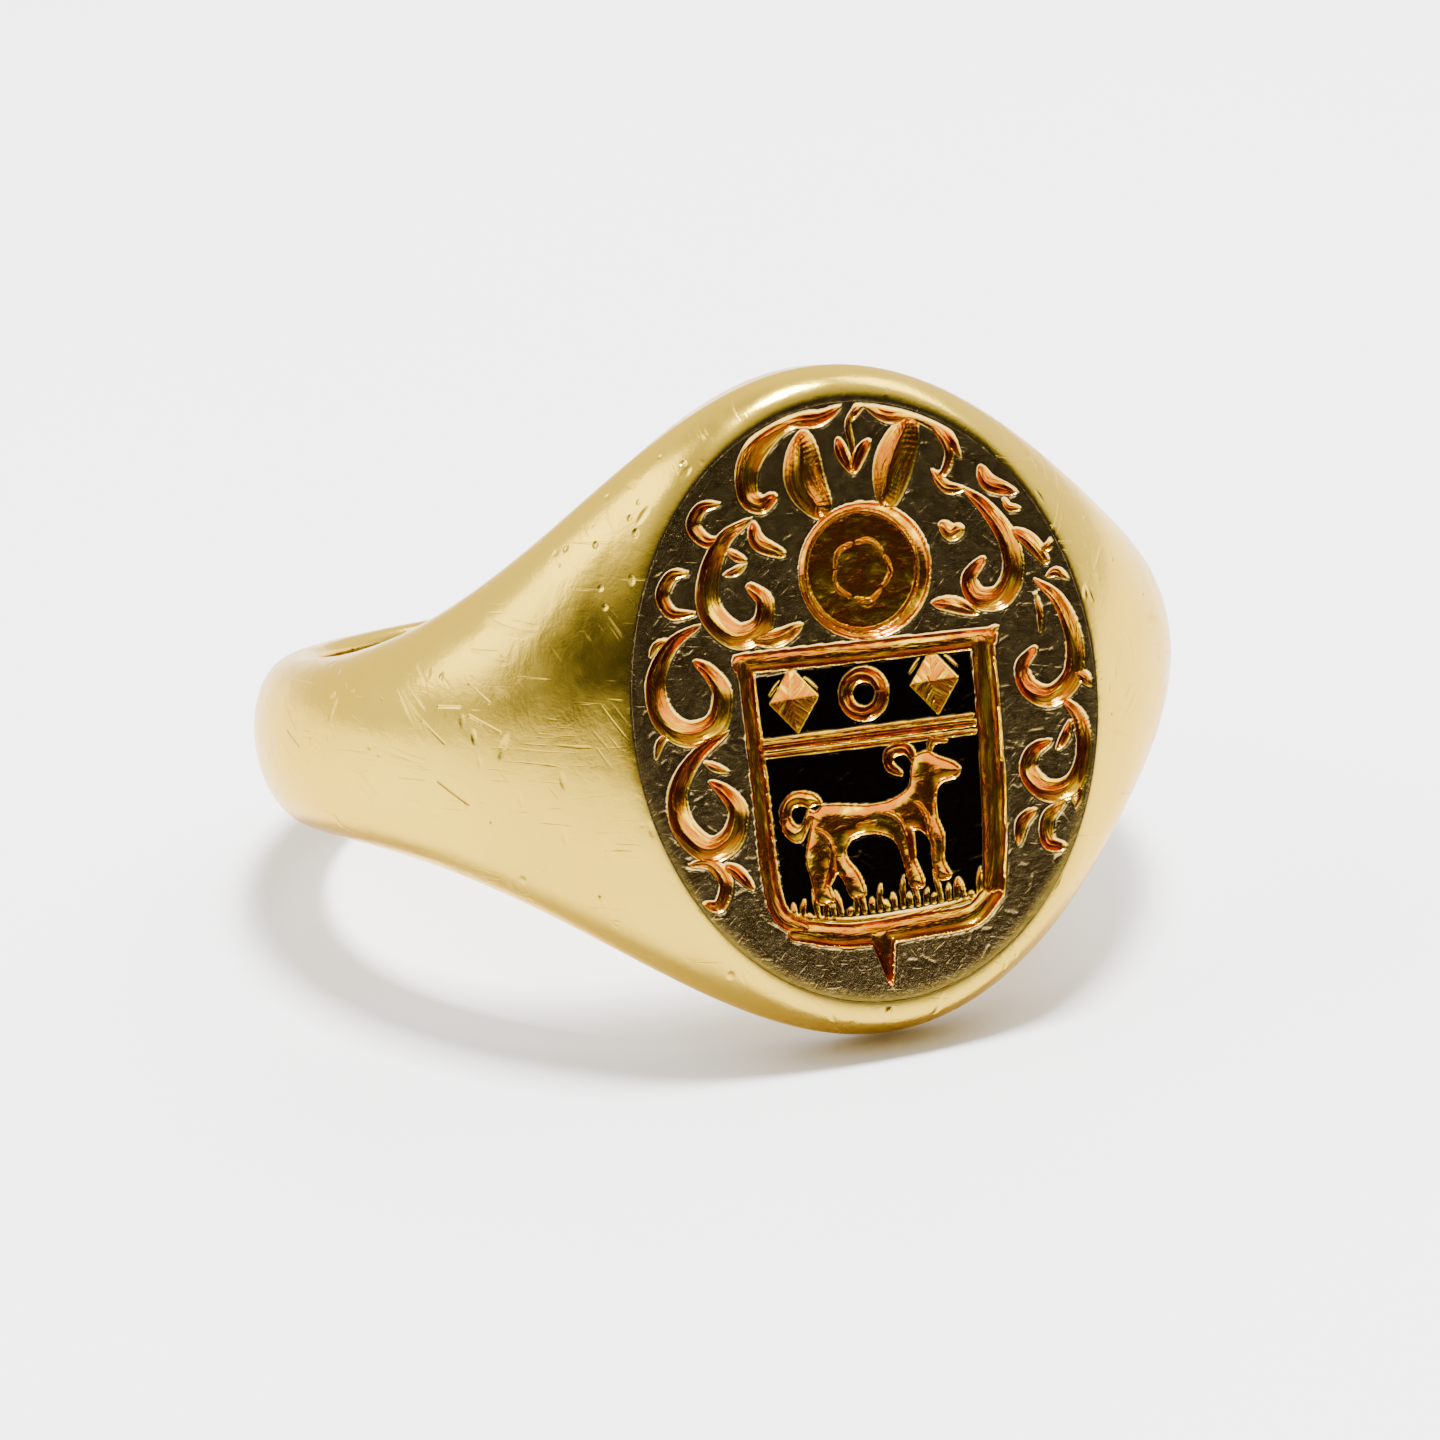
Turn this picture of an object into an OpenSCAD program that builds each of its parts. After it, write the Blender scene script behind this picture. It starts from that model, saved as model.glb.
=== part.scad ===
// Signet ring lying on its side: oval seal table on a flared head, soldered shank.
// The tilted rest pose is worked out from the ring's own sizes. All sizes in mm.

/* [Band] */
// Finger bore diameter
bore_d = 18.5; // [14:0.1:23]
// Width of the band at the finger's sides
side_w = 4.5; // [3:0.1:7]
// Width of the band at the back of the finger
back_w = 3.7; // [2.5:0.1:6]
// Metal thickness at the back of the finger
back_t = 1.5; // [1.1:0.05:2.5]
// Share of the thickness that stands as a flat side wall before the crown starts
edge_share = 0.30; // [0.15:0.01:0.6]

/* [Head] */
// Distance from the bore axis to the seal face
face_plane = 11.3; // [10.9:0.05:13]
// Seal face, across the finger
face_w = 11.6; // [8:0.1:14]
// Seal face, along the finger
face_l = 14.0; // [9:0.1:17]
// Full width of the head, along the finger
head_w = 15.6; // [10:0.1:19]
// Angle over which the head flares out of the band
flare_deg = 42; // [30:1:55]
// Sharpness of the flare
flare_pow = 2.1; // [1.6:0.05:3]
// Angle at which the shoulders have thinned down to the back thickness
taper_deg = 142; // [100:1:170]

/* [Joints] */
// Angle from the face to the joint between head and shoulder
head_joint = 40; // [36:1:60]
// Angle from the face to the joint between shoulder and back
back_joint = 128; // [100:1:150]
// Thickness of a solder film
film_t = 0.10; // [0.05:0.01:0.2]

/* [Seal table] */
// Thickness of the engraved seal plate
plate_t = 0.85; // [0.6:0.05:1]
// Depth of the engraved ground
cut_deep = 0.22; // [0.1:0.01:0.4]
// Width of the main engraved strokes
stroke_w = 0.62; // [0.3:0.01:0.8]
// Half-width of the shield
shield_w = 3.15; // [2:0.05:3.4]
// Height of the shield's straight top edge above the middle of the face
shield_top = 1.4; // [0.8:0.05:1.5]
// Distance of the shield's lower edge below the middle of the face
shield_low = 5.35; // [4:0.05:5.5]
// Radius of the round boss above the shield
boss_r = 1.5; // [0.8:0.05:1.6]
// Height of the boss above the middle of the face
boss_up = 3.1; // [3:0.05:3.6]

/* [Detail] */
// Angle step of the lofts
step_deg = 2.5; // [1:0.5:10]
// Points across half of a section's crown
crown_n = 10; // [5:1:16]

/* [Hidden] */
$fn = 96;
ri = bore_d / 2;
hs = side_w / 2;
hb = back_w / 2;
hh = head_w / 2;
face_ang = atan2(face_w / 2, face_plane);
face_rad = norm([face_w / 2, face_plane]);

// half-width of the band at an angle from the face
function half_w(a) = hs + (hb - hs) * a / 180 + (hh - hs) * exp(-pow(max(a, 0.001) / flare_deg, flare_pow));
function crown(u) = sqrt(max(0, 1 - u * u));
function crown_share(u) = edge_share + (1 - edge_share) * crown(min(1, abs(u)));
// metal thickness that carries the crown exactly through the rim of the oval face
function thick_in(a) =
    let (x = face_plane * tan(a), q = max(0, 1 - pow(x / (face_w / 2), 2)), z = face_l / 2 * sqrt(q))
    (face_plane / cos(a) - ri) / crown_share(z / half_w(a));
slope = (thick_in(face_ang) - thick_in(face_ang - 1)) / 1;
span = taper_deg - face_ang;
function thick_out(a) =
    let (s = min(1, (a - face_ang) / span))
    (2 * s * s * s - 3 * s * s + 1) * (face_rad - ri) + (s * s * s - 2 * s * s + s) * span * slope
    + (3 * s * s - 2 * s * s * s) * back_t;
function thick(a) = a < face_ang ? thick_in(a) : thick_out(a);

// one section of the band, in its own plane, reaching inside the bore
function fold(t) = t > 180 ? 360 - t : abs(t);
function section(t) =
    let (a = fold(t), h = half_w(a), k = thick(a))
    concat([[ri - 1.2, -h]],
           [for (i = [-crown_n : crown_n]) let (u = sin(90 * i / crown_n)) [ri + k * crown_share(u), h * u]],
           [[ri - 1.2, h]]);
function place(t, s) = [for (p = s) [sin(t) * p[0], -cos(t) * p[0], p[1]]];

// closed solid through the sections, from at least one step before t0 to one after t1
module loft(t0, t1) {
    k0 = floor(t0 / step_deg) - 1;
    k1 = ceil(t1 / step_deg) + 1;
    n = k1 - k0;
    rings = [for (k = [k0 : k1]) place(k * step_deg, section(k * step_deg))];
    m = len(rings[0]);
    pts = [for (r = rings) each r];
    sides = [for (k = [0 : n - 1], i = [0 : m - 1]) let (a = k * m + i, b = k * m + (i + 1) % m)
        each [[a, b, b + m], [a, b + m, a + m]]];
    caps = [[for (i = [m - 1 : -1 : 0]) i], [for (i = [0 : m - 1]) n * m + i]];
    polyhedron(points = pts, faces = concat(sides, caps), convexity = 6);
}

// the loft between two planes through the bore axis
module wedge(t0, t1) {
    intersection() {
        loft(t0, t1);
        rotate([0, 0, t0]) translate([0, -40, -30]) cube([40, 80, 60]);
        rotate([0, 0, t1]) translate([-40, -40, -30]) cube([40, 80, 60]);
    }
}

// the same solid with the true round finger bore through it
module band(t0, t1) {
    difference() {
        wedge(t0, t1);
        translate([0, 0, -20]) cylinder(r = ri, h = 40);
    }
}

// everything between two planes parallel to the seal face
module between(y0, y1) {
    translate([-20, -y1, -20]) cube([40, y1 - y0, 40]);
}

// angle that a film takes up at the middle of the metal
film_deg = film_t / (ri + 0.9) * 180 / PI;

// lean of the ring when it lies on the head's rim and the back of the band
function rest_gap(t) = ri * sin(t) - hh * cos(t) + (ri + back_t * edge_share) * sin(t)
    + norm([back_t * (1 - edge_share) * sin(t), hb * cos(t)]);
function solve(lo, hi, n) = n == 0 ? (lo + hi) / 2
    : rest_gap((lo + hi) / 2) > 0 ? solve(lo, (lo + hi) / 2, n - 1) : solve((lo + hi) / 2, hi, n - 1);
rest_tilt = solve(2, 45, 40);
rest_z = hh * cos(rest_tilt) - ri * sin(rest_tilt);
// middle of the leaning ring's outline, front to back
front_y = -(face_plane * cos(rest_tilt) + face_l / 2 * sin(rest_tilt));
back_y = (ri + back_t * edge_share) * cos(rest_tilt)
    + norm([back_t * (1 - edge_share) * cos(rest_tilt), hb * sin(rest_tilt)]);
rest_y = -(front_y + back_y) / 2;

module lay_down() {
    translate([0, rest_y, rest_z]) rotate([-rest_tilt, 0, 0]) children();
}

// ---- plain version of the engraving, drawn on the face as [across, along] ----

function bez(p, t) = len(p) == 1 ? p[0]
    : bez([for (i = [0 : len(p) - 2]) p[i] * (1 - t) + p[i + 1] * t], t);
// outline of a stroke along a curve that swells in the middle and ends in points
function stroke_pts(p, w, n) =
    let (c = [for (i = [0 : n]) bez(p, i / n)],
         d = [for (i = [0 : n]) let (e = bez(p, min(1, i / n + 0.01)) - bez(p, max(0, i / n - 0.01))) e / norm(e)],
         h = [for (i = [0 : n]) w / 2 * (0.16 + 0.84 * sin(180 * i / n))])
    concat([for (i = [0 : n]) c[i] + h[i] * [-d[i][1], d[i][0]]],
           [for (i = [n : -1 : 0]) c[i] - h[i] * [-d[i][1], d[i][0]]]);
// half of the shield's outline, from the top corner down to the point, shrunk by an inset
function shield_side(g) =
    let (w = shield_w - g, low = -shield_low + g, r = 0.95, tip = 0.5)
    concat([[w, shield_top - g]],
           [for (i = [0 : 6]) [w - r + r * cos(15 * i), low + r - r * sin(15 * i)]],
           [[tip, low], [0, low - 1 + 0.6 * g]]);
function shield_pts(g) =
    let (side = shield_side(g), n = len(side))
    concat(side, [for (i = [n - 2 : -1 : 0]) [-side[i][0], side[i][1]]]);

// a pocket with an upright wall, sunk into the face by the given depth
module pocket(deep) {
    rotate([90, 0, 0]) translate([0, 0, face_plane - deep]) linear_extrude(height = deep + 1) children();
}

module stroke(p, w) {
    pocket(cut_deep * 0.8) polygon(stroke_pts(p, w, 10));
}

// foliate scrolls, the same on both sides
module mantling() {
    for (m = [-1, 1]) {
        stroke([[m * 0.4, 6.55], [m * 1.6, 6.8], [m * 2.9, 5.9], [m * 2.3, 4.9]], stroke_w);
        stroke([[m * 3.7, 4.9], [m * 4.0, 4.2], [m * 3.4, 3.9], [m * 3.1, 4.0]], stroke_w * 0.6);
        stroke([[m * 2.7, 4.6], [m * 4.1, 3.9], [m * 4.1, 1.9], [m * 2.6, 2.2]], stroke_w);
        stroke([[m * 4.4, 3.3], [m * 4.9, 3.3], [m * 4.7, 2.5], [m * 4.1, 2.6]], stroke_w * 0.6);
        stroke([[m * 4.2, 2.2], [m * 5.6, 1.4], [m * 5.5, -0.5], [m * 3.8, -0.1]], stroke_w);
        stroke([[m * 4.1, -0.4], [m * 5.5, -1.2], [m * 5.0, -3.4], [m * 3.7, -2.3]], stroke_w);
        stroke([[m * 4.7, -3.1], [m * 4.6, -3.9], [m * 4.2, -4.3], [m * 3.8, -4.2]], stroke_w * 0.7);
        stroke([[m * 2.6, 1.75], [m * 2.2, 1.6], [m * 1.8, 1.8], [m * 1.5, 1.95]], stroke_w * 0.6);
        stroke([[m * 0.75, 4.6], [m * 1.5, 4.8], [m * 1.7, 5.6], [m * 1.3, 6.1]], stroke_w * 1.1);
        stroke([[m * 0.55, 4.75], [m * 0.4, 5.4], [m * 0.7, 5.9], [m * 0.95, 6.2]], stroke_w * 0.9);
    }
    stroke([[0, 4.75], [0.05, 5.2], [-0.05, 5.6], [0, 6.1]], stroke_w * 0.5);
}

// closed outline through a ring of points, with each corner cut by the given share
function soften(p, k) = let (n = len(p))
    [for (i = [0 : n - 1]) let (a = p[i], b = p[(i + 1) % n]) each [a * (1 - k) + b * k, a * k + b * (1 - k)]];

// plain long-tailed hound, walking to the right
module hound() {
    polygon(soften([[-1.9, -2.45], [-2.35, -1.75], [-2.1, -1.6], [-1.55, -2.15], [-0.4, -2.25], [0.5, -2.15],
        [0.95, -1.6], [1.15, -1.15], [1.3, -1.45], [1.95, -1.75], [1.95, -2.0], [1.35, -2.1], [1.15, -2.75],
        [1.35, -3.4], [1.3, -4.25], [1.0, -4.25], [0.95, -3.45], [0.6, -3.1], [0.55, -4.25], [0.25, -4.25],
        [0.2, -3.1], [-0.9, -3.05], [-1.25, -3.6], [-1.0, -4.25], [-1.35, -4.25], [-1.6, -3.6],
        [-1.8, -4.25], [-2.1, -4.25], [-1.95, -3.4]], 0.25));
}

// narrow blades of grass along the foot of the field
module grass() {
    for (i = [-7 : 7]) translate([i * 0.32, -4.72]) rotate(-i * 2)
        polygon([[-0.08, 0], [0, 0.42 + 0.12 * (i % 2)], [0.08, 0]]);
}

module shield_cut() {
    pocket(cut_deep) difference() {
        polygon(shield_pts(0));
        polygon(shield_pts(0.38));
    }
    pocket(cut_deep * 0.6) difference() {
        translate([-shield_w + 0.6, -4.72]) square([2 * shield_w - 1.2, 3.72]);
        hound();
        grass();
    }
    for (y = [-0.86, -0.62]) pocket(cut_deep * 0.6) translate([-shield_w + 0.5, y]) square([2 * shield_w - 1, 0.12]);
    for (m = [-1, 1]) pocket(cut_deep * 0.8) translate([m * 1.75, 0.24])
        polygon([[0, 0.62], [0.5, 0], [0, -0.62], [-0.5, 0]]);
    pocket(cut_deep * 0.8) translate([0, 0.24]) difference() {
        circle(r = 0.56);
        circle(r = 0.24);
    }
}

module boss_cut() {
    pocket(cut_deep) translate([0, boss_up]) difference() {
        circle(r = boss_r);
        circle(r = boss_r - 0.34);
    }
    pocket(cut_deep * 0.6) translate([0, boss_up]) circle(r = 0.6);
}

// ---- sub-parts ----

module seal_table() {
    color([0.80, 0.66, 0.38]) lay_down() difference() {
        intersection() {
            loft(-head_joint, head_joint);
            between(face_plane - plate_t, face_plane);
        }
        shield_cut();
        boss_cut();
        mantling();
    }
}

module table_solder() {
    color([0.86, 0.78, 0.58]) lay_down() intersection() {
        loft(-head_joint, head_joint);
        between(face_plane - plate_t - film_t, face_plane - plate_t);
    }
}

module head_saddle() {
    color([0.85, 0.73, 0.47]) lay_down() intersection() {
        band(-head_joint, head_joint);
        between(0, face_plane - plate_t - film_t);
    }
}

module left_shoulder() {
    color([0.85, 0.74, 0.48]) lay_down() band(-back_joint, -head_joint - film_deg);
}

module right_shoulder() {
    color([0.85, 0.74, 0.48]) lay_down() band(head_joint + film_deg, back_joint);
}

module left_shoulder_solder() {
    color([0.86, 0.78, 0.58]) lay_down() band(-head_joint - film_deg, -head_joint);
}

module right_shoulder_solder() {
    color([0.86, 0.78, 0.58]) lay_down() band(head_joint, head_joint + film_deg);
}

module shank_back() {
    color([0.84, 0.72, 0.46]) lay_down() band(back_joint + film_deg, 360 - back_joint - film_deg);
}

module left_shank_solder() {
    color([0.86, 0.78, 0.58]) lay_down() band(-back_joint - film_deg, -back_joint);
}

module right_shank_solder() {
    color([0.86, 0.78, 0.58]) lay_down() band(back_joint, back_joint + film_deg);
}

seal_table();
table_solder();
head_saddle();
left_shoulder();
right_shoulder();
left_shoulder_solder();
right_shoulder_solder();
shank_back();
left_shank_solder();
right_shank_solder();
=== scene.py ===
"""A worn gold signet ring, lying on its side, with an oval seal face cut in intaglio.

The ring is built from the same few sizes as its solid model: a crowned band whose width and
thickness flow into a flared head, closed by a flat oval plate. The plate carries the engraving
as real relief, cut stroke by stroke. All sizes in the classes are in millimetres.
"""

from __future__ import annotations

import logging
import math
from dataclasses import dataclass
from enum import Enum
from typing import Sequence

import bpy
import numpy as np
from mathutils import Matrix, Vector


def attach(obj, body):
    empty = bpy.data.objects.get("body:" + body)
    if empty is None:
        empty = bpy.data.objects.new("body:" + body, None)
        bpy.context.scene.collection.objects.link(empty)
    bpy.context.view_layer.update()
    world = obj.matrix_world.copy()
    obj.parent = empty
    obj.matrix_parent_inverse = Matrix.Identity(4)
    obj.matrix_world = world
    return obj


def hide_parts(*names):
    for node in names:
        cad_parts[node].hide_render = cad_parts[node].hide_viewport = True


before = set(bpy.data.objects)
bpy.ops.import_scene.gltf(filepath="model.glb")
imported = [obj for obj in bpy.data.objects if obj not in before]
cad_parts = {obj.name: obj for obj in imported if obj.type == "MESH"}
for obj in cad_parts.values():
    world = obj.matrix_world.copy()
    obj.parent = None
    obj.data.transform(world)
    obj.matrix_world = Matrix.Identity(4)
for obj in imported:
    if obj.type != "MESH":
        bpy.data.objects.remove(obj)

logging.basicConfig(level=logging.INFO, format="%(message)s")
log = logging.getLogger("signet_ring")

MM = 0.001
Points = Sequence[tuple[float, float]]


class Slot(Enum):
    """Material slots of the record."""

    POLISHED = "polished_gold"
    ENGRAVED = "engraved_gold"
    SOLDER = "gold_solder"


# ---------------------------------------------------------------- form of the ring


@dataclass(frozen=True)
class RingForm:
    """The shape that all pieces share, in the ring's own frame.

    The bore axis is Z, the seal face looks to -Y, and angles are measured from the face.
    """

    bore_r: float = 9.25
    side_half: float = 2.25
    back_half: float = 1.85
    back_thick: float = 1.5
    edge_share: float = 0.30
    face_plane: float = 11.3
    face_w: float = 11.6
    face_l: float = 14.0
    head_half: float = 7.8
    flare_deg: float = 42.0
    flare_pow: float = 2.1
    taper_deg: float = 142.0
    head_joint: float = 40.0
    back_joint: float = 128.0
    film: float = 0.10
    plate: float = 0.85
    soft_edge: float = 0.30

    @property
    def face_ang(self) -> float:
        """Angle at which the face ends, across the finger."""
        return math.degrees(math.atan2(self.face_w / 2, self.face_plane))

    @property
    def film_deg(self) -> float:
        """Angle that a solder film takes up in the band."""
        return math.degrees(self.film / (self.bore_r + 0.9))

    def half_width(self, deg: np.ndarray) -> np.ndarray:
        """Half the band's width at an angle from the face."""
        turn = np.abs(deg)
        a = np.maximum(np.minimum(turn, 360 - turn), 0.001)
        base = self.side_half + (self.back_half - self.side_half) * a / 180
        flare = np.exp(-((a / self.flare_deg) ** self.flare_pow))
        return base + (self.head_half - self.side_half) * flare

    def share(self, crown: np.ndarray) -> np.ndarray:
        """Share of the thickness reached where the crown has the given height, from 0 to 1."""
        return self.edge_share + (1 - self.edge_share) * crown

    def _thick_in(self, deg: np.ndarray) -> np.ndarray:
        """Thickness that carries the crown exactly through the rim of the oval face."""
        rad = np.radians(deg)
        across = self.face_plane * np.tan(rad)
        along = self.face_l / 2 * np.sqrt(np.maximum(0, 1 - (across / (self.face_w / 2)) ** 2))
        crown = np.sqrt(np.maximum(0, 1 - (along / self.half_width(deg)) ** 2))
        return (self.face_plane / np.cos(rad) - self.bore_r) / self.share(crown)

    def thickness(self, deg: np.ndarray) -> np.ndarray:
        """Metal thickness in the middle of the band at an angle from the face."""
        turn = np.abs(np.asarray(deg, float))
        a = np.minimum(turn, 360 - turn)
        end = self.face_ang
        span = self.taper_deg - end
        slope = float(self._thick_in(np.array(end)) - self._thick_in(np.array(end - 1)))
        rim = math.hypot(self.face_w / 2, self.face_plane) - self.bore_r
        s = np.clip((a - end) / span, 0, 1)
        out = (2 * s**3 - 3 * s**2 + 1) * rim + (s**3 - 2 * s**2 + s) * span * slope
        out = out + (3 * s**2 - 2 * s**3) * self.back_thick
        return np.where(a < end, self._thick_in(np.minimum(a, end)), out)

    @property
    def tilt(self) -> float:
        """Lean of the resting ring, in radians, from the head's rim and the back's lower edge."""
        low, high = math.radians(2), math.radians(45)
        for _ in range(60):
            mid = (low + high) / 2
            s, c = math.sin(mid), math.cos(mid)
            drop = self.bore_r * s - self.head_half * c
            drop += (self.bore_r + self.back_thick * self.edge_share) * s
            drop += math.hypot(self.back_thick * (1 - self.edge_share) * s, self.back_half * c)
            low, high = (low, mid) if drop > 0 else (mid, high)
        return (low + high) / 2

    @property
    def centre(self) -> tuple[float, float]:
        """Where the bore's middle lies, front to back and above the surface."""
        s, c = math.sin(self.tilt), math.cos(self.tilt)
        front = -(self.face_plane * c + self.face_l / 2 * s)
        back = (self.bore_r + self.back_thick * self.edge_share) * c
        back += math.hypot(self.back_thick * (1 - self.edge_share) * c, self.back_half * s)
        return -(front + back) / 2, self.head_half * c - self.bore_r * s

    def lay_down(self, pts: np.ndarray) -> np.ndarray:
        """Turns points from the ring's own frame to the resting ring, in metres.

        Args:
            pts: Points in millimetres, one per row.

        Returns:
            Points in metres in the shared frame.
        """
        s, c = math.sin(self.tilt), math.cos(self.tilt)
        y0, z0 = self.centre
        x, y, z = pts[..., 0], pts[..., 1], pts[..., 2]
        return np.stack([x, y * c + z * s + y0, -y * s + z * c + z0], -1) * MM

    def crown(self, deg: np.ndarray, lean: np.ndarray) -> np.ndarray:
        """Points of the crowned outside.

        Args:
            deg: Angle from the face.
            lean: Angle over the crown, from -90 at one edge to 90 at the other.

        Returns:
            Points in the ring's own frame.
        """
        v = np.radians(lean)
        r = self.bore_r + self.thickness(deg) * self.share(np.cos(v))
        return self._turn(deg, r, self.half_width(deg) * np.sin(v))

    def _turn(self, deg: np.ndarray, r: np.ndarray, z: np.ndarray) -> np.ndarray:
        """Points at an angle from the face, a radius and a height along the bore."""
        t = np.radians(deg)
        r, z, t = np.broadcast_arrays(r, z, t)
        return np.stack([np.sin(t) * r, -np.cos(t) * r, z], -1)

    def inner(self, deg: np.ndarray, count: int) -> np.ndarray:
        """The way from the crown's upper edge over the soft inner edge and down the bore.

        Args:
            deg: Angles from the face, one per section.
            count: Points in each soft edge.

        Returns:
            Rows of points, one row per section.
        """
        h = self.half_width(deg)[:, None]
        wall = self.thickness(deg)[:, None] * self.edge_share
        soft = np.minimum(self.soft_edge, wall * 0.95)
        turn = np.radians(np.linspace(0, 90, count))[None, :]
        edge_r = self.bore_r + soft * (1 - np.sin(turn))
        edge_z = h - soft * (1 - np.cos(turn))
        level = np.linspace(1, -1, 13)[None, 1:-1]
        bore_z = (h - soft) * level
        r = np.concatenate([edge_r, np.full_like(bore_z, self.bore_r), edge_r[:, ::-1]], 1)
        z = np.concatenate([edge_z, bore_z, -edge_z[:, ::-1]], 1)
        return self._turn(deg[:, None], r, z)

    def outline(self, depth: float, turn: np.ndarray) -> np.ndarray:
        """Where a plane at a distance from the bore axis, level with the face, meets the outside.

        Args:
            depth: Distance of the plane from the bore axis.
            turn: Angles round the face's middle, in radians.

        Returns:
            Points (across, along) on the plane.
        """
        ray = np.stack([np.cos(turn) * self.face_w / 2, np.sin(turn) * self.face_l / 2], -1)
        low, high = np.full(len(turn), 0.5), np.full(len(turn), 1.6)
        for _ in range(46):
            mid = (low + high) / 2
            p = ray * mid[:, None]
            inside = self._inside(p[:, 0], depth, p[:, 1])
            low, high = np.where(inside, mid, low), np.where(inside, high, mid)
        return ray * low[:, None]

    def _inside(self, x: np.ndarray, depth: float, z: np.ndarray) -> np.ndarray:
        """Is a point on such a plane inside the metal's outer surface?"""
        deg = np.degrees(np.arctan2(x, depth))
        level = np.abs(z) / self.half_width(deg)
        crown = np.sqrt(np.maximum(0, 1 - level**2))
        outer = self.bore_r + self.thickness(deg) * self.share(crown)
        return (level < 1) & (np.hypot(x, depth) < outer)


FORM = RingForm()


# ---------------------------------------------------------------- mesh helpers


def shade_smooth(mesh: bpy.types.Mesh, sharp_deg: float = 38.0) -> None:
    """Makes faces smooth and marks the edges that stay crisp."""
    mesh.polygons.foreach_set("use_smooth", [True] * len(mesh.polygons))
    mesh.set_sharp_from_angle(angle=math.radians(sharp_deg))
    mesh.update()


def make_piece(name: str, pts: np.ndarray, faces: list[tuple[int, ...]]) -> bpy.types.Object:
    """Makes an object from points in the ring's own frame.

    Args:
        name: The object's name.
        pts: Points in millimetres.
        faces: Faces as tuples of point numbers.

    Returns:
        The object, laid down in the shared frame.
    """
    mesh = bpy.data.meshes.new(name)
    mesh.from_pydata(FORM.lay_down(pts).tolist(), [], faces)
    mesh.validate()
    shade_smooth(mesh)
    obj = bpy.data.objects.new(name, mesh)
    bpy.context.scene.collection.objects.link(obj)
    return obj


def tube_faces(rows: int, cols: int) -> list[tuple[int, ...]]:
    """Faces of a closed tube of rows of points, with a cap at each end."""
    faces: list[tuple[int, ...]] = []
    for i in range(rows - 1):
        for j in range(cols):
            k = (j + 1) % cols
            faces.append((i * cols + j, (i + 1) * cols + j, (i + 1) * cols + k, i * cols + k))
    faces.append(tuple(range(cols)))
    faces.append(tuple((rows - 1) * cols + j for j in reversed(range(cols))))
    return faces


def spaced(low: float, high: float, step: float, thin: float) -> np.ndarray:
    """Even values from low to high, with a thin strip at each end that keeps its shading true."""
    count = max(2, int(math.ceil((high - low) / step)) + 1)
    inner = np.linspace(low, high, count)
    thin = min(thin, (high - low) / 4)
    return np.unique(np.concatenate([[low, low + thin], inner[1:-1], [high - thin, high]]))


def seat(piece: bpy.types.Object, node: str, slot: Slot, finish: bpy.types.Material) -> None:
    """Gives a piece its finish and puts it in the place of its solid."""
    piece.data.materials.append(finish)
    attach(piece, "root")
    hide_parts(node)
    log.info("%s: %d faces", piece.name, len(piece.data.polygons))


# ---------------------------------------------------------------- node helpers


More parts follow.
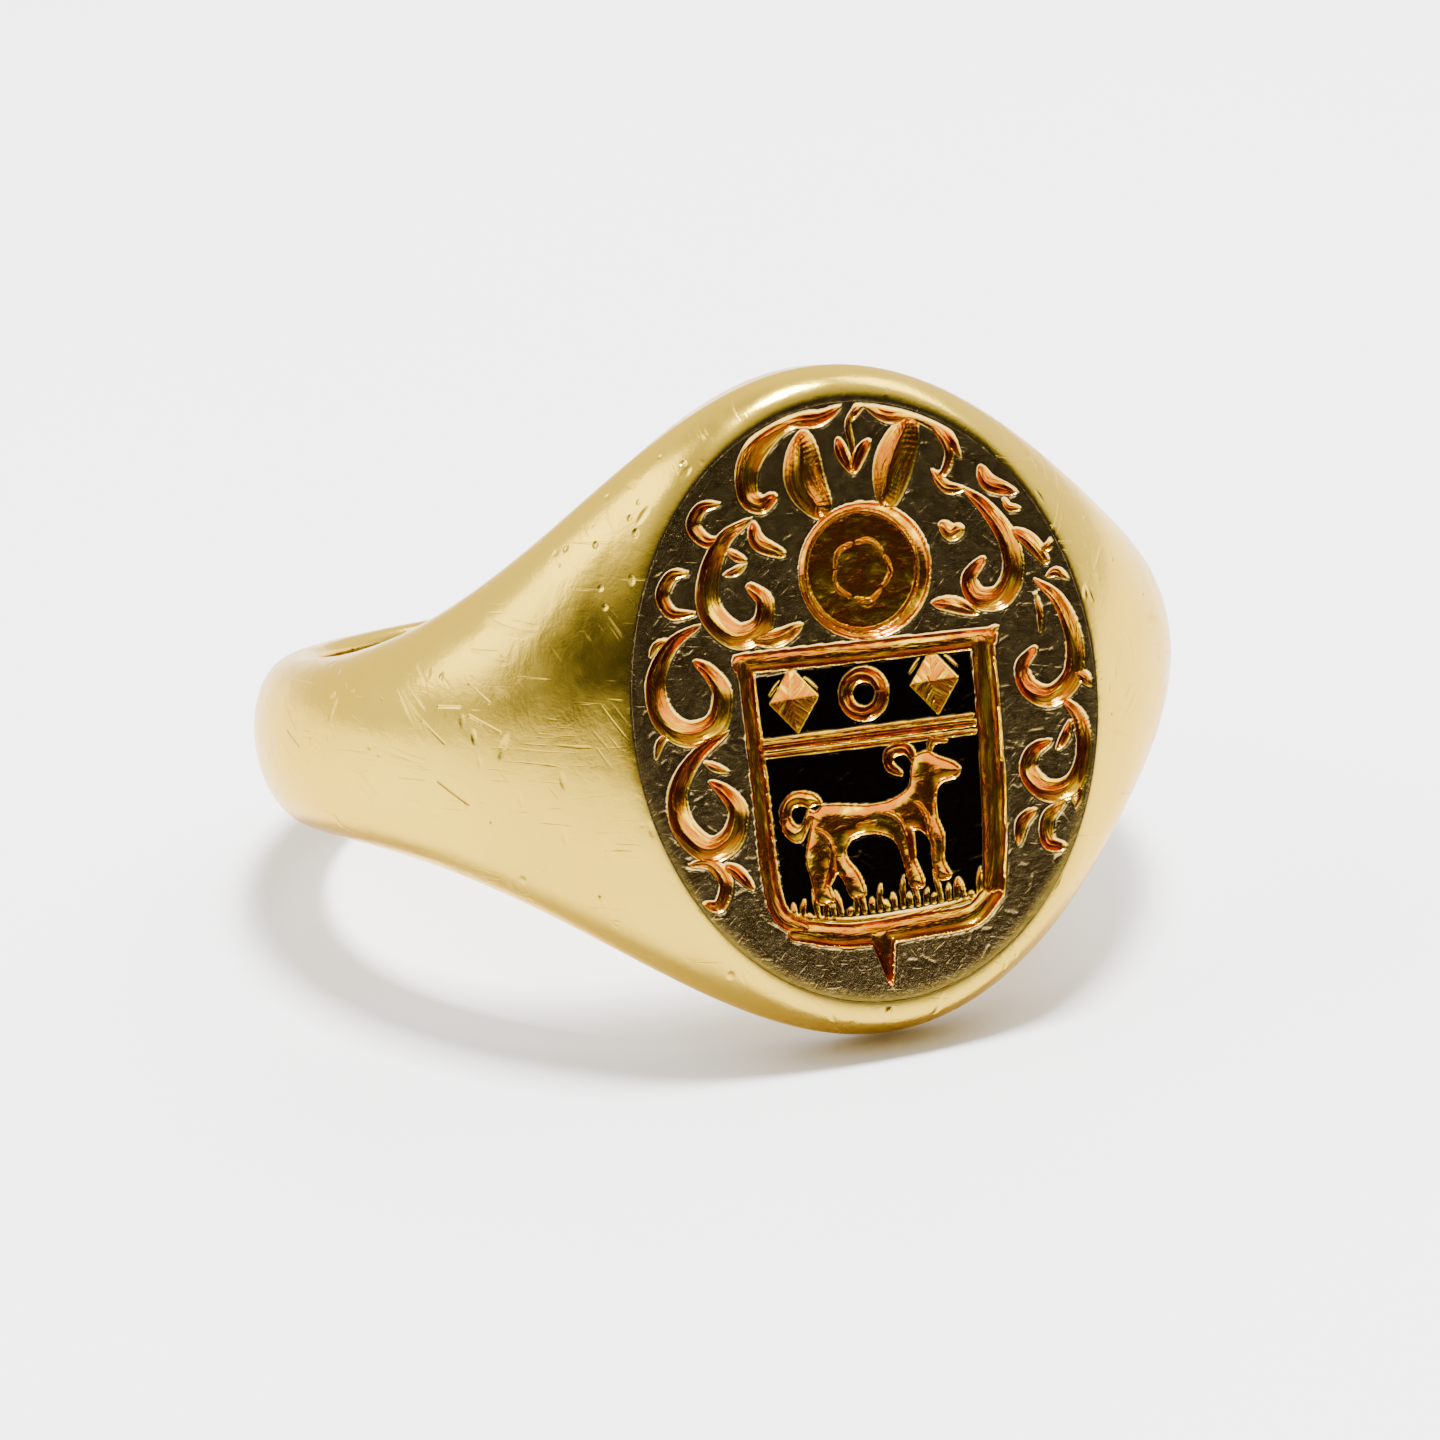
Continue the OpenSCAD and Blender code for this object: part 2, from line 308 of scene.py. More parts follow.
class Nodes:
    """A short way to write a material's node tree."""

    def __init__(self, tree: bpy.types.NodeTree) -> None:
        """Starts from an empty tree."""
        self.tree = tree
        tree.nodes.clear()

    def add(self, kind: str, **values: object) -> bpy.types.Node:
        """Adds a node; keys are properties, or inputs with spaces written as underscores.

        Args:
            kind: The node's type, without its ShaderNode prefix.
            **values: Values, or sockets to link from.

        Returns:
            The new node.
        """
        node = self.tree.nodes.new("ShaderNode" + kind)
        for key, value in values.items():
            if hasattr(node, key):
                setattr(node, key, value)
        for key, value in values.items():
            if not hasattr(node, key):
                self.put(node, key, value)
        return node

    def put(self, node: bpy.types.Node, key: str | int, value: object) -> None:
        """Sets an input of a node, or links a socket to it."""
        if isinstance(key, str) and key.startswith("in_"):
            socket = node.inputs[int(key[3:])]
        else:
            socket = node.inputs[key.replace("_", " ") if isinstance(key, str) else key]
        if isinstance(value, bpy.types.NodeSocket):
            self.tree.links.new(value, socket)
        else:
            socket.default_value = value

    def math(self, how: str, a: object, b: object = 0.0, clamp: bool = False) -> bpy.types.NodeSocket:
        """One step of arithmetic."""
        return self.add("Math", operation=how, use_clamp=clamp, in_0=a, in_1=b).outputs[0]

    def ramp(self, value: object, low: float, high: float, to_low: float = 0.0,
             to_high: float = 1.0) -> bpy.types.NodeSocket:
        """A smooth step from one value to another."""
        node = self.add("MapRange", interpolation_type="SMOOTHSTEP")
        for key, given in zip(range(5), (value, low, high, to_low, to_high)):
            self.put(node, f"in_{key}", given)
        return node.outputs[0]

    def mix(self, share: object, a: object, b: object) -> bpy.types.NodeSocket:
        """A blend of two colours."""
        node = self.add("Mix", data_type="RGBA")
        for key, given in ((0, share), (6, a), (7, b)):
            self.put(node, f"in_{key}", given)
        return node.outputs[2]

    def noise(self, where: object, scale: float, detail: float = 3.0, rough: float = 0.5,
              twist: float = 0.0) -> bpy.types.NodeSocket:
        """Cloudy noise at a scale given in cycles per metre."""
        return self.add("TexNoise", Vector=where, Scale=scale, Detail=detail, Roughness=rough,
                        Distortion=twist).outputs["Fac"]

    def stretch(self, where: object, turn: tuple[float, float, float],
                scale: tuple[float, float, float]) -> bpy.types.NodeSocket:
        """Coordinates turned by degrees and then stretched."""
        turned = self.add("Mapping", Vector=where, Rotation=tuple(math.radians(a) for a in turn))
        return self.add("Mapping", Vector=turned.outputs[0], Scale=scale).outputs[0]

    def bump(self, height: object, distance: float, strength: float = 1.0,
             normal: object | None = None) -> bpy.types.NodeSocket:
        """Bends the shading normal by a height, with the distance in metres."""
        node = self.add("Bump", Height=height, Distance=distance, Strength=strength)
        if normal is not None:
            self.put(node, "Normal", normal)
        return node.outputs[0]

    def layers(self, *bumps: tuple[object, float, float]) -> bpy.types.NodeSocket:
        """Bumps one over another, each as a height, a distance in metres and a strength."""
        normal = None
        for height, distance, strength in bumps:
            normal = self.bump(height, distance, strength, normal)
        return normal

    def read(self, name: str, output: str = "Fac") -> bpy.types.NodeSocket:
        """A quantity that is kept on the mesh."""
        return self.add("Attribute", attribute_name=name).outputs[output]


# ---------------------------------------------------------------- finishes


@dataclass(frozen=True)
class Scratch:
    """A scratch on the band, from one place to another; a pit where the two are one."""

    start: tuple[float, float]
    end: tuple[float, float]
    wide: float = 0.03
    deep: float = 1.0

    def ends(self) -> tuple[Vector, Vector]:
        """Both ends in the shared frame, in metres, from their angles and heights on the band."""
        out = []
        for deg, height in (self.start, self.end):
            lean = math.degrees(math.asin(height / float(FORM.half_width(np.array(deg)))))
            point = FORM.lay_down(FORM.crown(np.array(float(deg)), np.array(lean)))
            out.append(Vector(np.ravel(point).tolist()))
        return out[0], out[1]


def strewn_scratches(count: int = 20, seed: int = 5) -> list[Scratch]:
    """Longer scratches strewn over the band, with a pit for every third of them.

    Args:
        count: How many marks.
        seed: Seed of their places.

    Returns:
        The marks, three out of four of them on the shoulders and the rest anywhere behind.
    """
    rng = np.random.default_rng(seed)
    marks = []
    for i in range(count):
        near, far = (32.0, 62.0) if i % 4 else (62.0, 180.0)
        deg = float(rng.choice((-1.0, 1.0)) * rng.uniform(near, far))
        height = float(rng.uniform(-0.7, 0.7) * FORM.half_width(np.array(deg)))
        run, climb = float(rng.uniform(2.0, 4.0)), float(rng.uniform(-0.8, 0.3))
        if i % 3 == 2:
            marks.append(Scratch((deg, height), (deg, height), float(rng.uniform(0.045, 0.06)),
                                 float(rng.uniform(1.0, 1.3))))
        else:
            marks.append(Scratch((deg, height), (deg + run, height + climb),
                                 float(rng.uniform(0.024, 0.06)), float(rng.uniform(0.5, 1.0))))
    return marks


@dataclass(frozen=True)
class WornPolish:
    """Polished yellow gold that has been worn: hairlines, dings and a soft waviness."""

    name: str = "worn_polished_gold"
    colour: tuple[float, float, float] = (0.61, 0.41, 0.040)
    deep: tuple[float, float, float] = (0.60, 0.39, 0.03)
    grime: tuple[float, float, float] = (0.22, 0.12, 0.03)
    rough_low: float = 0.16
    rough_high: float = 0.29

    def scratches(self, n: Nodes, where: object) -> bpy.types.NodeSocket:
        """Fine hairlines that run in three directions, as a height from 0 to 1."""
        total: object = 0.0
        for turn, scale in (((12, 40, 25), 7200.0), ((70, -20, 110), 6300.0), ((-35, 75, -50), 8100.0)):
            along = n.stretch(where, turn, (1.0, 0.05, 0.05))
            line = n.ramp(n.noise(along, scale, 2.0, 0.5), 0.60, 0.70)
            gate = n.ramp(n.noise(where, scale * 0.11, 2.0, 0.5), 0.5, 0.62)
            total = n.math("ADD", total, n.math("MULTIPLY", line, gate))
        return total

    def marks(self, n: Nodes, where: object) -> bpy.types.NodeSocket:
        """The few longer scratches and the pits, as a depth from 0 to 1."""
        total: object = 0.0
        for mark in strewn_scratches():
            a, b = mark.ends()
            way = b - a
            rel = n.add("VectorMath", operation="SUBTRACT", in_0=where, in_1=tuple(a)).outputs[0]
            along = n.add("VectorMath", operation="DOT_PRODUCT", in_0=rel, in_1=tuple(way)).outputs["Value"]
            share = n.math("DIVIDE", along, max(way.length_squared, 1e-12), clamp=True)
            foot = n.add("VectorMath", operation="SCALE", in_0=tuple(way), Scale=share).outputs[0]
            gap = n.add("VectorMath", operation="DISTANCE", in_0=rel, in_1=foot).outputs["Value"]
            total = n.math("ADD", total, n.ramp(gap, 0.0, mark.wide * MM, mark.deep, 0.0))
        return total

    def dents(self, n: Nodes, where: object) -> bpy.types.NodeSocket:
        """Short narrow dents from years of wear, as a depth from 0 to 1."""
        total: object = 0.0
        for turn, scale, share in (((0, 14, 0), 2300.0, 0.40), ((0, -28, 20), 1900.0, 0.55)):
            along = n.stretch(where, turn, (1.0, 1.0, 0.26))
            cell = n.add("TexVoronoi", Vector=along, Scale=scale)
            dent = n.ramp(cell.outputs["Distance"], 0.05, 0.24, 1.0, 0.0)
            lucky = n.ramp(n.add("SeparateXYZ", Vector=cell.outputs["Color"]).outputs[0], share, share + 0.05)
            total = n.math("ADD", total, n.math("MULTIPLY", dent, lucky))
        return n.math("MULTIPLY", total, n.ramp(n.noise(where, 260.0, 2.0), 0.42, 0.58))

    def build(self) -> bpy.types.Material:
        """Makes the material.

        Returns:
            The material.
        """
        mat = bpy.data.materials.new(self.name)
        mat.use_nodes = True
        n = Nodes(mat.node_tree)
        where = n.add("TexCoord").outputs["Object"]
        wave = n.noise(where, 210.0, 2.0, 0.45)
        mottle = n.noise(where, 900.0, 4.0, 0.6, 0.3)
        grain = n.noise(where, 16000.0, 3.0, 0.6)
        lines = self.scratches(n, where)
        pits = n.ramp(n.add("TexVoronoi", Vector=where, Scale=1500.0).outputs["Distance"], 0.0, 0.16)
        few = n.ramp(n.noise(where, 420.0, 2.0), 0.55, 0.66)
        marks = self.marks(n, where)
        pits = n.math("MULTIPLY", n.math("SUBTRACT", 1.0, pits), few)
        normal = n.layers(
            (wave, 7.0e-5, 1.0),
            (mottle, 2.0e-5, 1.0),
            (n.math("SUBTRACT", 1.0, pits), 3.0e-5, 0.8),
            (n.math("SUBTRACT", 1.0, self.dents(n, where)), 2.6e-5, 1.0),
            (n.math("SUBTRACT", 1.0, marks), 3.0e-5, 1.0),
            (n.math("SUBTRACT", 1.0, lines), 7.0e-6, 0.8),
            (grain, 2.4e-6, 0.7),
        )
        rough = n.ramp(n.noise(where, 380.0, 4.0, 0.6), 0.3, 0.75, self.rough_low, self.rough_high)
        rough = n.math("ADD", rough, n.math("MULTIPLY", lines, 0.10))
        worn = n.read("worn")
        rough = n.math("ADD", rough, n.math("MULTIPLY", worn, 0.12))
        tone = n.mix(n.ramp(n.noise(where, 130.0, 3.0, 0.55), 0.35, 0.7),
                     (*self.colour, 1), (*self.deep, 1))
        tone = n.mix(n.math("MULTIPLY", marks, 0.55, clamp=True), tone, (*self.grime, 1))
        shader = n.add("BsdfPrincipled", Base_Color=tone, Metallic=1.0, Roughness=rough, Normal=normal,
                       Specular_Tint=(1.0, 0.84, 0.55, 1))
        n.add("OutputMaterial", Surface=shader.outputs[0])
        return mat


@dataclass(frozen=True)
class CutGold:
    """The seal face: satin ground with hairlines, and cuts painted deep amber as painted shade, with a
    painted highlight along their lips.
    """

    name: str = "engraved_gold"
    ground: tuple[float, float, float] = (0.50, 0.325, 0.105)
    pale: tuple[float, float, float] = (0.74, 0.52, 0.18)
    rubbed: tuple[float, float, float] = (0.56, 0.37, 0.04)
    # Painted highlight: bright gold along the edges of the cuts.
    lip: tuple[float, float, float] = (0.92, 0.60, 0.03)
    # Painted shade: the amber of the cuts stands in for the darkened, reddened light inside the recesses.
    amber: tuple[float, float, float] = (0.52, 0.275, 0.001)
    # Painted highlight: a bright colour along the graver streaks in the cuts.
    glint: tuple[float, float, float] = (0.92, 0.52, 0.001)
    # Painted shade: the darkest colour in the cuts.
    painted_cut_shade: tuple[float, float, float] = (0.44, 0.120, 0.001)
    # Edge tint of reflections in the cuts, orange to go with their painted shade.
    sheen: tuple[float, float, float] = (1.0, 0.50, 0.01)
    flat_sheen: tuple[float, float, float] = (1.0, 0.9, 0.7)
    # Painted shade: near black in the lined field, for the shade of its fine grooves.
    painted_field_shade: tuple[float, float, float] = (0.030, 0.018, 0.006)
    lean_deg: float = 17.4

    def hairlines(self, n: Nodes, where: object) -> bpy.types.NodeSocket:
        """Fine hairlines that run over the face in five directions, as a height."""
        hair: object = 0.0
        upright = n.stretch(where, (self.lean_deg, 0, 0), (1, 1, 1))
        for turn, scale in ((30, 11000.0), (-48, 9500.0), (80, 9000.0), (5, 12000.0), (-15, 10000.0)):
            along = n.stretch(upright, (0, turn, 0), (1.0, 1.0, 0.17))
            hair = n.math("ADD", hair, n.ramp(n.noise(along, scale, 2.0, 0.5), 0.64, 0.76))
        return hair

    def graver_lines(self, n: Nodes) -> bpy.types.NodeSocket:
        """Streaks that the graver leaves along each cut, as a height from 0 to 1."""
        graver = n.read("graver", "Vector")
        streak = n.noise(n.stretch(graver, (0, 0, 0), (0.9, 5.5, 1.0)), 1.2, 3.0, 0.5, 0.6)
        fine = n.noise(n.stretch(graver, (0, 0, 0), (2.0, 18.0, 1.0)), 1.4, 2.0, 0.5)
        return n.math("ADD", n.math("MULTIPLY", streak, 0.82), n.math("MULTIPLY", fine, 0.18))

    def surface(self, n: Nodes, where: object, deep: object, streaks: object) -> bpy.types.NodeSocket:
        """The shading normal: satin and speckle on the flat, rows in the field, streaks in the cuts."""
        lined = n.read("field")
        rows = n.add("TexWave", Vector=n.read("face", "Vector"), Scale=2.6, Distortion=1.2, Detail=2.0,
                     bands_direction="Y").outputs["Fac"]
        flat = n.math("SUBTRACT", 1.0, n.math("MAXIMUM", deep, n.read("side")))
        ground = n.math("MULTIPLY", flat, n.math("SUBTRACT", 1.0, n.math("MULTIPLY", lined, 0.8)))
        grain = n.math("MULTIPLY", n.noise(where, 15000.0, 4.0, 0.7), 1.2)
        satin = n.math("MULTIPLY", n.math("ADD", self.hairlines(n, where), grain), ground)
        speckle = n.math("MULTIPLY", n.noise(where, 8500.0, 3.0, 0.65), ground)
        return n.layers(
            (satin, 1.6e-6, 1.0),
            (speckle, 7.0e-6, 1.0),
            (n.math("MULTIPLY", n.math("MULTIPLY", rows, lined), flat), 1.0e-6, 0.6),
            (n.math("MULTIPLY", streaks, deep), 4.0e-5, 1.0),
        )

    def ground_tone(self, n: Nodes, where: object, worn: object) -> bpy.types.NodeSocket:
        """Colour of the uncut face: mottled, rubbed at the foot of the rim, with painted shade in the lined
        field.
        """
        patch = n.ramp(n.noise(where, 2600.0, 4.0, 0.7), 0.36, 0.66)
        ground = n.mix(patch, (*self.ground, 1), (*self.pale, 1))
        ground = n.mix(n.math("MULTIPLY", worn, 1.25, clamp=True), ground, (*self.rubbed, 1))
        # Painted shade: the lined field is painted near black.
        return n.mix(n.read("field"), ground, (*self.painted_field_shade, 1))

    def cut_tone(self, n: Nodes, cut: object, streaks: object) -> bpy.types.NodeSocket:
        """Colour of the cuts: painted shade from the darkest colour to amber, a painted glint along the
        streaks, and a painted highlight at the lip.
        """
        # Painted shade in the cuts, from the darkest colour to amber along the streaks.
        body = n.mix(n.ramp(streaks, 0.44, 0.60), (*self.painted_cut_shade, 1), (*self.amber, 1))
        # Painted highlight along the streaks.
        body = n.mix(n.ramp(streaks, 0.57, 0.63), body, (*self.glint, 1))
        # Painted highlight: the lip colour where each cut is shallow, at its edges.
        return n.mix(n.ramp(cut, 0.05, 0.26), (*self.lip, 1), body)

    def build(self) -> bpy.types.Material:
        """Makes the material, which reads the relief's own record of what was cut where.

        Returns:
            The material.
        """
        mat = bpy.data.materials.new(self.name)
        mat.use_nodes = True
        n = Nodes(mat.node_tree)
        where = n.add("TexCoord").outputs["Object"]
        cut, worn = n.read("cut"), n.read("worn")
        deep = n.ramp(cut, 0.10, 0.34)
        streaks = self.graver_lines(n)
        rough = n.math("ADD", n.ramp(deep, 0.0, 1.0, 0.15, 0.19), n.math("MULTIPLY", worn, 0.24))
        is_cut = n.ramp(cut, 0.02, 0.12)
        tone = n.mix(is_cut, self.ground_tone(n, where, worn), self.cut_tone(n, cut, streaks))
        edge = n.mix(is_cut, (*self.flat_sheen, 1), (*self.sheen, 1))
        shader = n.add("BsdfPrincipled", Base_Color=tone, Metallic=1.0, Roughness=rough,
                       Normal=self.surface(n, where, deep, streaks), Specular_Tint=edge)
        n.add("OutputMaterial", Surface=shader.outputs[0])
        return mat


@dataclass(frozen=True)
class PaleTable:
    """The matt pale surface that the ring lies on."""

    name: str = "pale_table"
    colour: tuple[float, float, float] = (0.88, 0.88, 0.90)

    def build(self) -> bpy.types.Material:
        """Makes the material.

        Returns:
            The material.
        """
        mat = bpy.data.materials.new(self.name)
        mat.use_nodes = True
        n = Nodes(mat.node_tree)
        where = n.add("TexCoord").outputs["Object"]
        tint = n.ramp(n.noise(where, 30.0, 3.0), 0.3, 0.7)
        darker = tuple(c * 0.985 for c in self.colour)
        tone = n.mix(tint, (*self.colour, 1), (*darker, 1))
        shader = n.add("BsdfPrincipled", Base_Color=tone, Roughness=0.38)
        shader.inputs["Specular IOR Level"].default_value = 0.35
        n.add("OutputMaterial", Surface=shader.outputs[0])
        return mat


# ---------------------------------------------------------------- band pieces


@dataclass
class BandPiece:
    """A stretch of the band between two planes through the bore axis."""

    node: str
    start: float
    end: float
    slot: Slot = Slot.POLISHED
    step: float = 0.7
    crown_step: float = 2.2
    edge_points: int = 7

    def sections(self) -> tuple[np.ndarray, np.ndarray]:
        """Angles of the sections, and the crown's angles in each of them."""
        deg = spaced(self.start, self.end, self.step, 0.03)
        lean = np.linspace(-90, 90, int(180 / self.crown_step) + 1)
        return deg, np.broadcast_to(lean, (len(deg), len(lean)))

    def build(self, finish: bpy.types.Material) -> bpy.types.Object:
        """Makes the piece.

        Args:
            finish: Its material.

        Returns:
            The finished object.
        """
        deg, lean = self.sections()
        outer = FORM.crown(deg[:, None], lean)
        inner = FORM.inner(deg, self.edge_points)
        rows = np.concatenate([outer, inner], 1)
        piece = make_piece(self.node + "_metal", rows.reshape(-1, 3), tube_faces(*rows.shape[:2]))
        seat(piece, self.node, self.slot, finish)
        return piece


@dataclass
class HeadSaddle(BandPiece):
    """The head under the seal plate: the band's widest stretch, levelled off for the plate."""

    level: float = FORM.face_plane - FORM.plate - FORM.film
    flat_points: int = 9

    def seat_sections(self) -> np.ndarray:
        """Angles of the sections, closest together where the seat runs out at each side."""
        low, high = 20.0, self.end
        for _ in range(40):
            mid = (low + high) / 2
            over = self.level / math.cos(math.radians(mid)) > FORM.bore_r + float(FORM.thickness(mid))
            low, high = (low, mid) if over else (mid, high)
        seat = low * np.sin(np.linspace(-math.pi / 2, math.pi / 2, 150))
        rest = spaced(low, self.end, self.step, 0.03)
        return np.unique(np.round(np.concatenate([-rest, seat, rest]), 6))

    def build(self, finish: bpy.types.Material) -> bpy.types.Object:
        """Makes the saddle, with the crown cut off at the plate's seat.

        Args:
            finish: Its material.

        Returns:
            The finished object.
        """
        deg = self.seat_sections()
        thick = FORM.thickness(deg)
        seat_r = self.level / np.cos(np.radians(deg))
        crown = ((seat_r - FORM.bore_r) / thick - FORM.edge_share) / (1 - FORM.edge_share)
        cut = np.degrees(np.arccos(np.clip(crown, 0, 1)))
        half = int(90 / self.crown_step)
        down = np.concatenate([[0, 0.002], np.linspace(0, 1, half)[1:]])
        lean = cut[:, None] + (90 - cut[:, None]) * down[None, :]
        upper = FORM.crown(deg[:, None], lean)
        lower = FORM.crown(deg[:, None], -lean[:, ::-1])
        across = np.linspace(0, 1, self.flat_points)[None, 1:-1, None]
        flat = lower[:, -1:, :] * (1 - across) + upper[:, :1, :] * across
        rows = np.concatenate([lower, flat, upper, FORM.inner(deg, self.edge_points)], 1)
        piece = make_piece(self.node + "_metal", rows.reshape(-1, 3), tube_faces(*rows.shape[:2]))
        seat(piece, self.node, self.slot, finish)
        return piece


@dataclass
class TableFilm:
    """The solder film under the seal plate, a thin slice of the head."""

    node: str = "table_solder"
    points: int = 480

    def build(self, finish: bpy.types.Material) -> bpy.types.Object:
        """Makes the film.

        Args:
            finish: Its material.

        Returns:
            The finished object.
        """
        top = FORM.face_plane - FORM.plate
        turn = np.linspace(0, 2 * math.pi, self.points, endpoint=False)
        rows = []
        for depth in np.linspace(top, top - FORM.film, 4):
            p = FORM.outline(float(depth), turn)
            rows.append(np.stack([p[:, 0], np.full(len(p), -depth), p[:, 1]], -1))
        grid = np.stack(rows)
        piece = make_piece(self.node + "_metal", grid.reshape(-1, 3), tube_faces(*grid.shape[:2]))
        seat(piece, self.node, Slot.SOLDER, finish)
        return piece


# ---------------------------------------------------------------- engraving


def through(path: Points, closed: bool = False, per: int = 9) -> np.ndarray:
    """A smooth curve through a few points.

    Args:
        path: The points, as (across, along) on the face.
        closed: Whether the curve returns to its start.
        per: Points made for each stretch.

    Returns:
        Points on the curve.
    """
    p = np.array(path, float)
    if closed:
        p = np.concatenate([p[-1:], p, p[:2]])
    else:
        p = np.concatenate([2 * p[:1] - p[1:2], p, 2 * p[-1:] - p[-2:-1]])
    out = []
    for i in range(1, len(p) - 2):
        a, b, c, d = p[i - 1 : i + 3]
        t = np.linspace(0, 1, per, endpoint=False)[:, None]
        out.append(0.5 * (2 * b + (c - a) * t + (2 * a - 5 * b + 4 * c - d) * t**2
                          + (3 * b - a - 3 * c + d) * t**3))
    return np.concatenate([*out, p[-2:-1]])


def circle(middle: tuple[float, float], radius: float, count: int) -> Points:
    """Points evenly round a circle on the face."""
    x, y = middle
    turns = np.linspace(0, 2 * math.pi, count, endpoint=False)
    return tuple((x + radius * math.cos(a), y + radius * math.sin(a)) for a in turns)


@dataclass(frozen=True)
class Stroke:
    """One cut of the graver: a curve whose width swells and tapers."""

    path: Points
    width: float
    deep: float = 0.20
    start: float = 0.15
    end: float = 0.15
    straight: bool = False
    closed: bool = False
    flat: bool = False

    def line(self) -> tuple[np.ndarray, np.ndarray]:
        """Points along the cut and its half-width at each."""
        if self.straight:
            ends = np.array(self.path, float)
            steps = [np.linspace(a, b, 5, endpoint=False) for a, b in zip(ends[:-1], ends[1:])]
            c = np.concatenate([*steps, ends[-1:]])
        else:
            c = through(self.path, self.closed)
        t = np.linspace(0, 1, len(c))
        base = self.start * (1 - t) + self.end * t
        return c, self.width / 2 * (base + (1 - base) * np.sin(math.pi * t) ** 0.7)


class Relief:
    """The seal face as depths over a grid of points, cut stroke by stroke."""

    burr_high: float = 0.014
    burr_wide: float = 0.040
    graver_shift: float = 3.7

    def __init__(self, at: np.ndarray) -> None:
        """Starts from an uncut face.

        Args:
            at: The grid's points, as (across, along).
        """
        self.at = at
        self.depth = np.zeros(len(at))
        self.burr = np.zeros(len(at))
        self.field = np.zeros(len(at))
        self.graver = np.zeros((len(at), 3))
        self.cuts = 0

    def near(self, line: np.ndarray, margin: float) -> np.ndarray:
        """Numbers of the grid points near a line."""
        low, high = line.min(0) - margin, line.max(0) + margin
        return np.nonzero(((self.at >= low) & (self.at <= high)).all(1))[0]

    @staticmethod
    def measure(spots: np.ndarray, line: np.ndarray, half: np.ndarray
                ) -> tuple[np.ndarray, np.ndarray, np.ndarray, np.ndarray]:
        """Distances from points to a line that has a width.

        Args:
            spots: The points.
            line: The line's points.
            half: Its half-width at each.

        Returns:
            Distance past the edge, signed distance across, place along, and half-width there.
        """
        best = np.full(len(spots), 1e9)
        across, along, wide = (np.zeros(len(spots)) for _ in range(3))
        run = 0.0
        for a, b, ha, hb in zip(line[:-1], line[1:], half[:-1], half[1:]):
            way = b - a
            length = float(np.hypot(*way)) or 1e-9
            rel = spots - a
            t = np.clip(rel @ way / length**2, 0, 1)
            gap = rel - t[:, None] * way
            dist = np.hypot(gap[:, 0], gap[:, 1])
            h = ha + (hb - ha) * t
            closer = dist - h < best
            sign = np.sign(way[0] * rel[:, 1] - way[1] * rel[:, 0])
            best = np.where(closer, dist - h, best)
            across = np.where(closer, dist * sign, across)
            along = np.where(closer, run + t * length, along)
            wide = np.where(closer, h, wide)
            run += length
        return best, across, along, wide

    def _sink(self, index: np.ndarray, depth: np.ndarray, along: np.ndarray, across: np.ndarray) -> None:
        """Deepens the face where a new cut goes below what is there."""
        deeper = depth > self.depth[index]
        at = index[deeper]
        self.depth[at] = depth[deeper]
        shift = np.full(len(at), self.cuts * self.graver_shift)
        self.graver[at] = np.stack([along[deeper], across[deeper], shift], -1)
        self.cuts += 1

    def _raise_lip(self, index: np.ndarray, past: np.ndarray, share: float = 1.0) -> None:
        """Leaves a burnished lip beside a cut."""
        x, y = self.at[index, 0], self.at[index, 1]
        uneven = 0.62 + 0.38 * np.sin(6.1 * x + 3.7 * y) * np.sin(4.3 * y - 7.9 * x)
        lip = share * uneven * self.burr_high * np.exp(-((past / self.burr_wide) ** 2))
        self.burr[index] = np.maximum(self.burr[index], np.where(past > -0.02, lip, 0))

    def cut(self, s: Stroke) -> None:
        """Cuts one stroke, steep at its edges and rounded along its floor."""
        line, half = s.line()
        index = self.near(line, s.width / 2 + 0.16)
        past, across, along, wide = self.measure(self.at[index], line, half)
        a = np.clip(np.abs(across) / np.maximum(wide, 1e-6), 0, 1)
        room = np.clip(wide / 0.11, 0.5, 1)
        profile = (1 - a**3) ** 0.6 if s.flat else (1 - a) ** 0.72
        depth = np.where(past < 0, s.deep * room * profile, 0)
        self._sink(index, depth, along, across)
        self._raise_lip(index, past, min(1.0, s.width / 0.3))

    def sink_shape(self, outline: np.ndarray, deep: float, soft: float, lip: float = 1.0) -> None:
        """Sinks a closed shape, steep at its edge and rounded towards its middle.

        Args:
            outline: The shape's outline.
            deep: How deep it goes.
            soft: How far in from the edge the floor keeps falling.
            lip: Share of the usual lip left round it.
        """
        line = np.concatenate([outline, outline[:1]])
        index = self.near(line, 0.16)
        spots = self.at[index]
        past, across, along, _ = self.measure(spots, line, np.zeros(len(line)))
        within = inside_shape(spots, line)
        rise = np.clip(past / soft, 0, 1)
        depth = np.where(within, deep * (0.45 + 0.55 * (1 - (1 - rise) ** 2)), 0)
        depth = depth * np.where(within, np.clip(past / 0.05, 0, 1) ** 0.5, 0)
        self._sink(index, depth, spots[:, 0] * 1.6, spots[:, 1] * 0.3)
        self._raise_lip(index, np.where(within, -1, past), lip)

    def facet(self, middle: tuple[float, float], size: tuple[float, float], deep: float) -> None:
        """Cuts a four-sided pit like the inside of a pyramid."""
        rel = self.at - np.array(middle)
        k = np.abs(rel[:, 0]) / size[0] + np.abs(rel[:, 1]) / size[1]
        index = np.nonzero(k < 1.4)[0]
        k = k[index]
        rel = rel[index]
        depth = np.where(k < 1, 0.05 + (deep - 0.05) * (1 - k), 0) * np.clip((1 - k) / 0.08, 0, 1) ** 0.5
        turn = np.sign(rel[:, 0]) * np.sign(rel[:, 1])
        self._sink(index, depth, rel[:, 0] + turn * rel[:, 1], rel[:, 0] * turn - rel[:, 1])
        self._raise_lip(index, (k - 1) * min(size) * 0.8)


